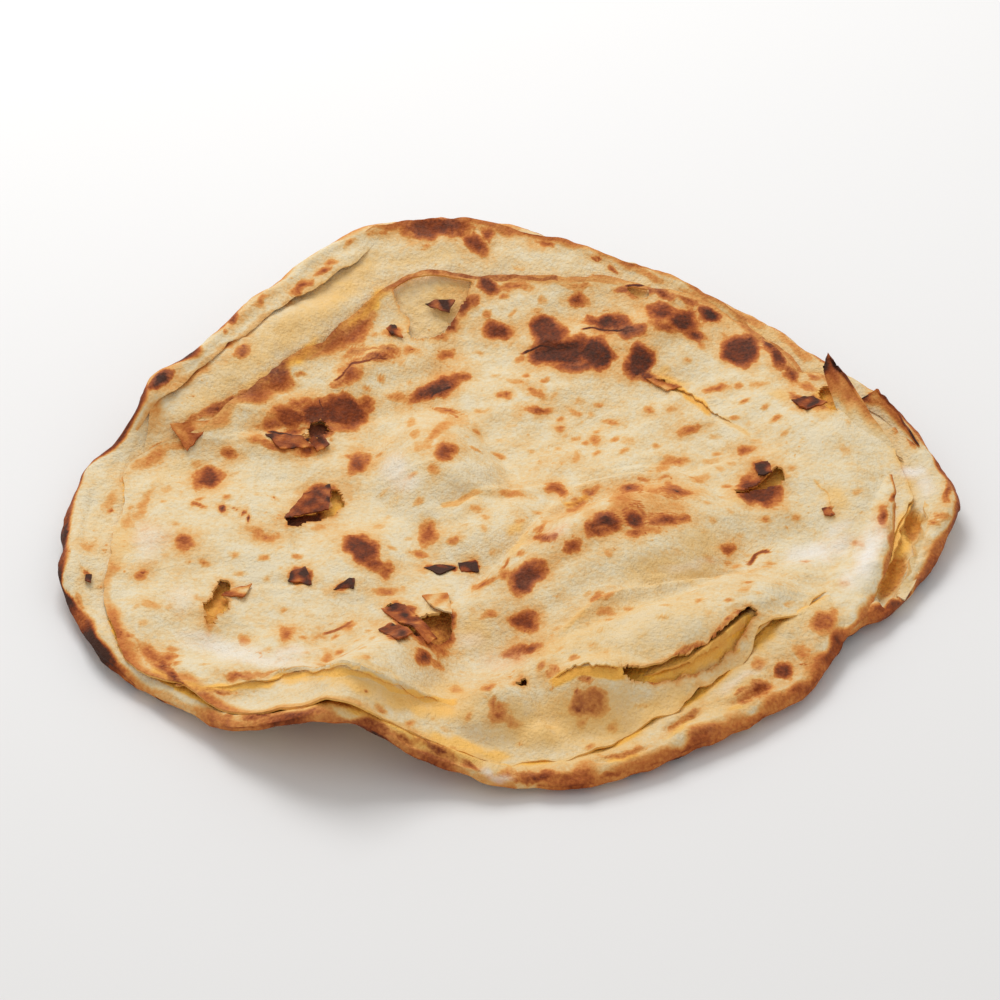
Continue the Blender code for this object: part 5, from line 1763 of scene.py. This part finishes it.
marking, make, given, place = start_group(
    "marks", dict.fromkeys(MARK_INPUTS, 0.0), {"Toast And Shade": "NodeSocketFloat", "Ghee And Glow": "NodeSocketFloat"},
)
ragged = make.noises(place, *RAGGED)
depth = make.plus(make.times(make.minus(given["Mark"], 0.5), DEPTH_RANGE), ragged)
border = make.times(make.step(depth, *BORDER), BORDER_SHARE)
core = make.times(make.step(depth, *CORE), CORE_SHARE)
halo = make.times(make.step(depth, *HALO), HALO_SHARE)
marked = make.times(make.math("MAXIMUM", make.plus(border, core), halo), given["Mark Darkness"])
# Lines add toast that is partly painted shade, and amber that is painted glow.
signed = make.times(make.minus(given["Line"], 0.5), DEPTH_RANGE)
away = make.math("ABSOLUTE", make.plus(signed, make.times(ragged, LINE_RAGGED)))
depth = make.minus(make.times(given["Line Half"], WIDEST_HALF), away)
lined = make.times(make.step(depth, *LINE_DARKENS), given["Line Toast And Shade"])
soaked_and_glowing = make.times(make.step(depth, *LINE_SOAKS_AND_GLOWS), given["Line Ghee And Glow"])
make.add("NodeGroupOutput", {"Toast And Shade": make.math("MAXIMUM", marked, lined), "Ghee And Glow": soaked_and_glowing})
print("marks group nodes:", len(marking.nodes))

# %% The browning group
# Position on the ramp and colour in linear light.
BAKING = (
    (0.00, (0.752, 0.660, 0.470)), (0.10, (0.758, 0.600, 0.348)), (0.22, (0.745, 0.485, 0.210)),
    (0.36, (0.720, 0.352, 0.098)), (0.50, (0.625, 0.222, 0.048)), (0.64, (0.455, 0.122, 0.027)),
    (0.78, (0.280, 0.058, 0.013)), (0.90, (0.140, 0.032, 0.012)), (1.00, (0.045, 0.022, 0.015)),
)
# Noises that fray a border, cloud the pale dough, speckle it and say where the specks are.
FRAY_NOISE = ((1.0, 0.0032, 4), (1.0, 0.0010, 2))
CLOUD_NOISE = ((1.0, 0.022, 4), (1.0, 0.006, 4), (1.0, 0.0012, 2))
SPECK_SIZE, SPECK_LEAST, SPECK_SHARPNESS, SPECK_STRENGTH = 0.0019, 0.17, 7.0, 0.4
FIELD_SIZE, FIELD_SHARPNESS = 0.026, 5.0
LEAST_TOAST = 0.09

browning, make, given, place = start_group(
    "browning", {"Toast And Shade": 0.0, "Fray": 0.2, "Mottle": 0.2},
    {"Color": "NodeSocketColor", "Level": "NodeSocketFloat"},
)
fray = make.noises(place, *FRAY_NOISE)
bell = make.times(given["Toast And Shade"], make.minus(1.15, given["Toast And Shade"]))
bell = make.times(bell, 3.0, clamp=True)
frayed = make.times(make.times(fray, bell), given["Fray"])
clouds = make.times(make.noises(place, *CLOUD_NOISE), given["Mottle"])
clouds = make.times(clouds, make.minus(1.0, given["Toast And Shade"]))
specks = make.minus(make.noise(place, SPECK_SIZE, 1), SPECK_LEAST)
specks = make.times(specks, SPECK_SHARPNESS, clamp=True)
fields = make.times(make.noise(place, FIELD_SIZE, 2), FIELD_SHARPNESS, clamp=True)
clouds = make.plus(clouds, make.times(make.times(specks, fields), SPECK_STRENGTH))
level = make.plus(given["Toast And Shade"], frayed)
level = make.plus(level, make.plus(clouds, LEAST_TOAST), clamp=True)
ramp = make.add("ShaderNodeValToRGB", {"Fac": level})
ramp.color_ramp.interpolation = "B_SPLINE"
while len(ramp.color_ramp.elements) < len(BAKING):
    ramp.color_ramp.elements.new(0.5)
for element, (position, colour) in zip(ramp.color_ramp.elements, BAKING):
    element.position = position
    element.color = (*colour, 1)
make.add("NodeGroupOutput", {"Color": ramp.outputs["Color"], "Level": level})
print("browning group nodes:", len(browning.nodes))

# %% The dough grain group
GRAIN_NOISE = ((1.0, 0.0045, 5, 0.6), (0.75, 0.0009, 3))
PIT_SIZE, PIT_DEPTH, CRUST_HEIGHT = 0.0016, -0.22, 0.25

grain, make, given, place = start_group("dough grain", {"Level": 0.0}, {"Height": "NodeSocketFloat"})
pits = make.add("ShaderNodeTexVoronoi", {"Vector": place, "Scale": 1 / PIT_SIZE}, feature="SMOOTH_F1")
height = make.noises(place, *GRAIN_NOISE)
height = make.plus(height, make.times(pits.outputs["Distance"], PIT_DEPTH))
height = make.plus(height, make.times(given["Level"], CRUST_HEIGHT))
make.add("NodeGroupOutput", {"Height": height})
print("dough grain group nodes:", len(grain.nodes))

# %% The material
# The amber is bright so that gaps and holes in shade still look lit: painted glow of light through the thin
# wet sheets. The flour white also paints a highlight.
AMBER = (0.930, 0.480, 0.060, 1)
THIN_AMBER = (0.800, 0.530, 0.200, 1)
FLOUR_AND_HIGHLIGHT = (0.860, 0.835, 0.800, 1)
# Greyish bloom on the dark crust: its colour, strength and noises, and the levels it lies between.
BLOOM_COLOR, BLOOM = (0.540, 0.370, 0.250, 1), 0.45
BLOOM_NOISE = ((0.5, 0.0024, 4, 0.7), (1.0, 0.014, 2))
BLOOM_BEGINS, BLOOM_ENDS = (0.3, 0.8), (0.97, 0.86)
WET_SHINE, UNEVEN_SHINE = -0.16, 0.2


def dough_material(name, fray, mottle, roughness, bump):
    material = bpy.data.materials.new(name)
    material.use_nodes = True
    tree = material.node_tree
    shader = tree.nodes["Principled BSDF"]
    make = Nodes(tree)
    toast, ghee, flour = [make.read(attribute) for attribute in ("toast", "ghee", "flour")]
    place = make.place()
    read = {title: make.read(attribute) for title, attribute in MARK_INPUTS.items()}
    marks = make.add("ShaderNodeGroup", read, node_tree=marking)
    # Marks and lines add toast; the lines' toast is partly painted shade.
    toast = make.math("MAXIMUM", toast, marks.outputs["Toast And Shade"])
    ghee = make.math("MAXIMUM", ghee, marks.outputs["Ghee And Glow"])
    baked = make.add("ShaderNodeGroup", {"Toast And Shade": toast, "Fray": fray, "Mottle": mottle}, node_tree=browning)
    level = baked.outputs["Level"]
    uneven = make.noise(place, 0.006, 4)
    pale = make.minus(1.15, make.times(level, 1.4), clamp=True)
    # Amber mixed in here is the ghee's tint and also painted glow: light through the thin sheets, painted
    # into gaps, creases and holes that lie in shade.
    soaked_and_glowing = make.times(ghee, make.plus(make.times(uneven, 0.8), 1.1), clamp=True)
    wet_and_glowing = make.times(soaked_and_glowing, pale, clamp=True)
    amber = make.mix(make.math("POWER", ghee, 2.0), THIN_AMBER, AMBER)
    colour = make.mix(wet_and_glowing, baked.outputs["Color"], amber)
    # White mixed in here is flour dust, and on the round blister's lit left side a painted highlight.
    whitening = make.times(flour, make.plus(0.8, uneven), clamp=True)
    whitening = make.times(whitening, pale, clamp=True)
    bloom = make.times(make.noises(place, *BLOOM_NOISE), make.step(level, *BLOOM_BEGINS), clamp=True)
    bloom = make.times(bloom, make.step(level, *BLOOM_ENDS))
    colour = make.mix(make.times(bloom, BLOOM), colour, BLOOM_COLOR)
    colour = make.mix(make.times(whitening, 0.95), colour, FLOUR_AND_HIGHLIGHT)
    rough = make.plus(roughness, make.times(wet_and_glowing, WET_SHINE))
    rough = make.plus(rough, make.times(uneven, UNEVEN_SHINE), clamp=True)
    height = make.add("ShaderNodeGroup", {"Level": level}, node_tree=grain).outputs["Height"]
    bumped = make.add("ShaderNodeBump", {"Height": height, "Distance": bump, "Strength": 1.0})
    tree.links.new(colour, shader.inputs["Base Color"])
    tree.links.new(rough, shader.inputs["Roughness"])
    tree.links.new(bumped.outputs["Normal"], shader.inputs["Normal"])
    shader.inputs["Specular IOR Level"].default_value = 0.12
    return material


skin_finish = dough_material("baked skin", fray=0.26, mottle=0.34, roughness=0.6, bump=0.0006)
crust_finish = dough_material("crusty rim", fray=0.34, mottle=0.32, roughness=0.64, bump=0.0007)
for piece in (skin, middle, lowest, far_fold, near_fold, *over_sheets, *inner_sheets, *flaps, *flakes):
    piece.data.materials.clear()
    piece.data.materials.append(crust_finish if piece == lowest else skin_finish)
    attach(piece, "root")
    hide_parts("paratha")
print("materials:", skin_finish.name, "and", crust_finish.name)

# %% [markdown]
# ## Floor and light
#
# The bread lies on a plain pale floor in soft daylight. A bright even sky fills the shadows, and one
# large soft light from the far left, like a window, lets every blister show its round side.

# %% Floor and light
SKY_COLOR, SKY_STRENGTH = (1.0, 0.98, 0.96, 1), 0.65
WINDOW_PLACE, WINDOW_POWER, WINDOW_SIZE = (-0.24, 0.66, 0.92), 8.1, 0.6

floor_mesh = bpy.data.meshes.new("floor")
floor_bm = bmesh.new()
bmesh.ops.create_grid(floor_bm, x_segments=1, y_segments=1, size=3)
floor_bm.to_mesh(floor_mesh)
floor_bm.free()
floor = bpy.data.objects.new("floor", floor_mesh)
bpy.context.scene.collection.objects.link(floor)

world = bpy.data.worlds.new("soft daylight")
bpy.context.scene.world = world
world.use_nodes = True
sky = world.node_tree.nodes["Background"]
sky.inputs["Color"].default_value = SKY_COLOR
sky.inputs["Strength"].default_value = SKY_STRENGTH

light = bpy.data.lights.new("window", "AREA")
light.energy = WINDOW_POWER
light.size = WINDOW_SIZE
lamp = bpy.data.objects.new("window", light)
lamp.location = WINDOW_PLACE
lamp.rotation_euler = Vector(WINDOW_PLACE).to_track_quat("Z", "Y").to_euler()
bpy.context.scene.collection.objects.link(lamp)
bpy.context.scene.view_settings.view_transform = "Standard"
print("window", round(Vector(WINDOW_PLACE).length, 2), "m away")
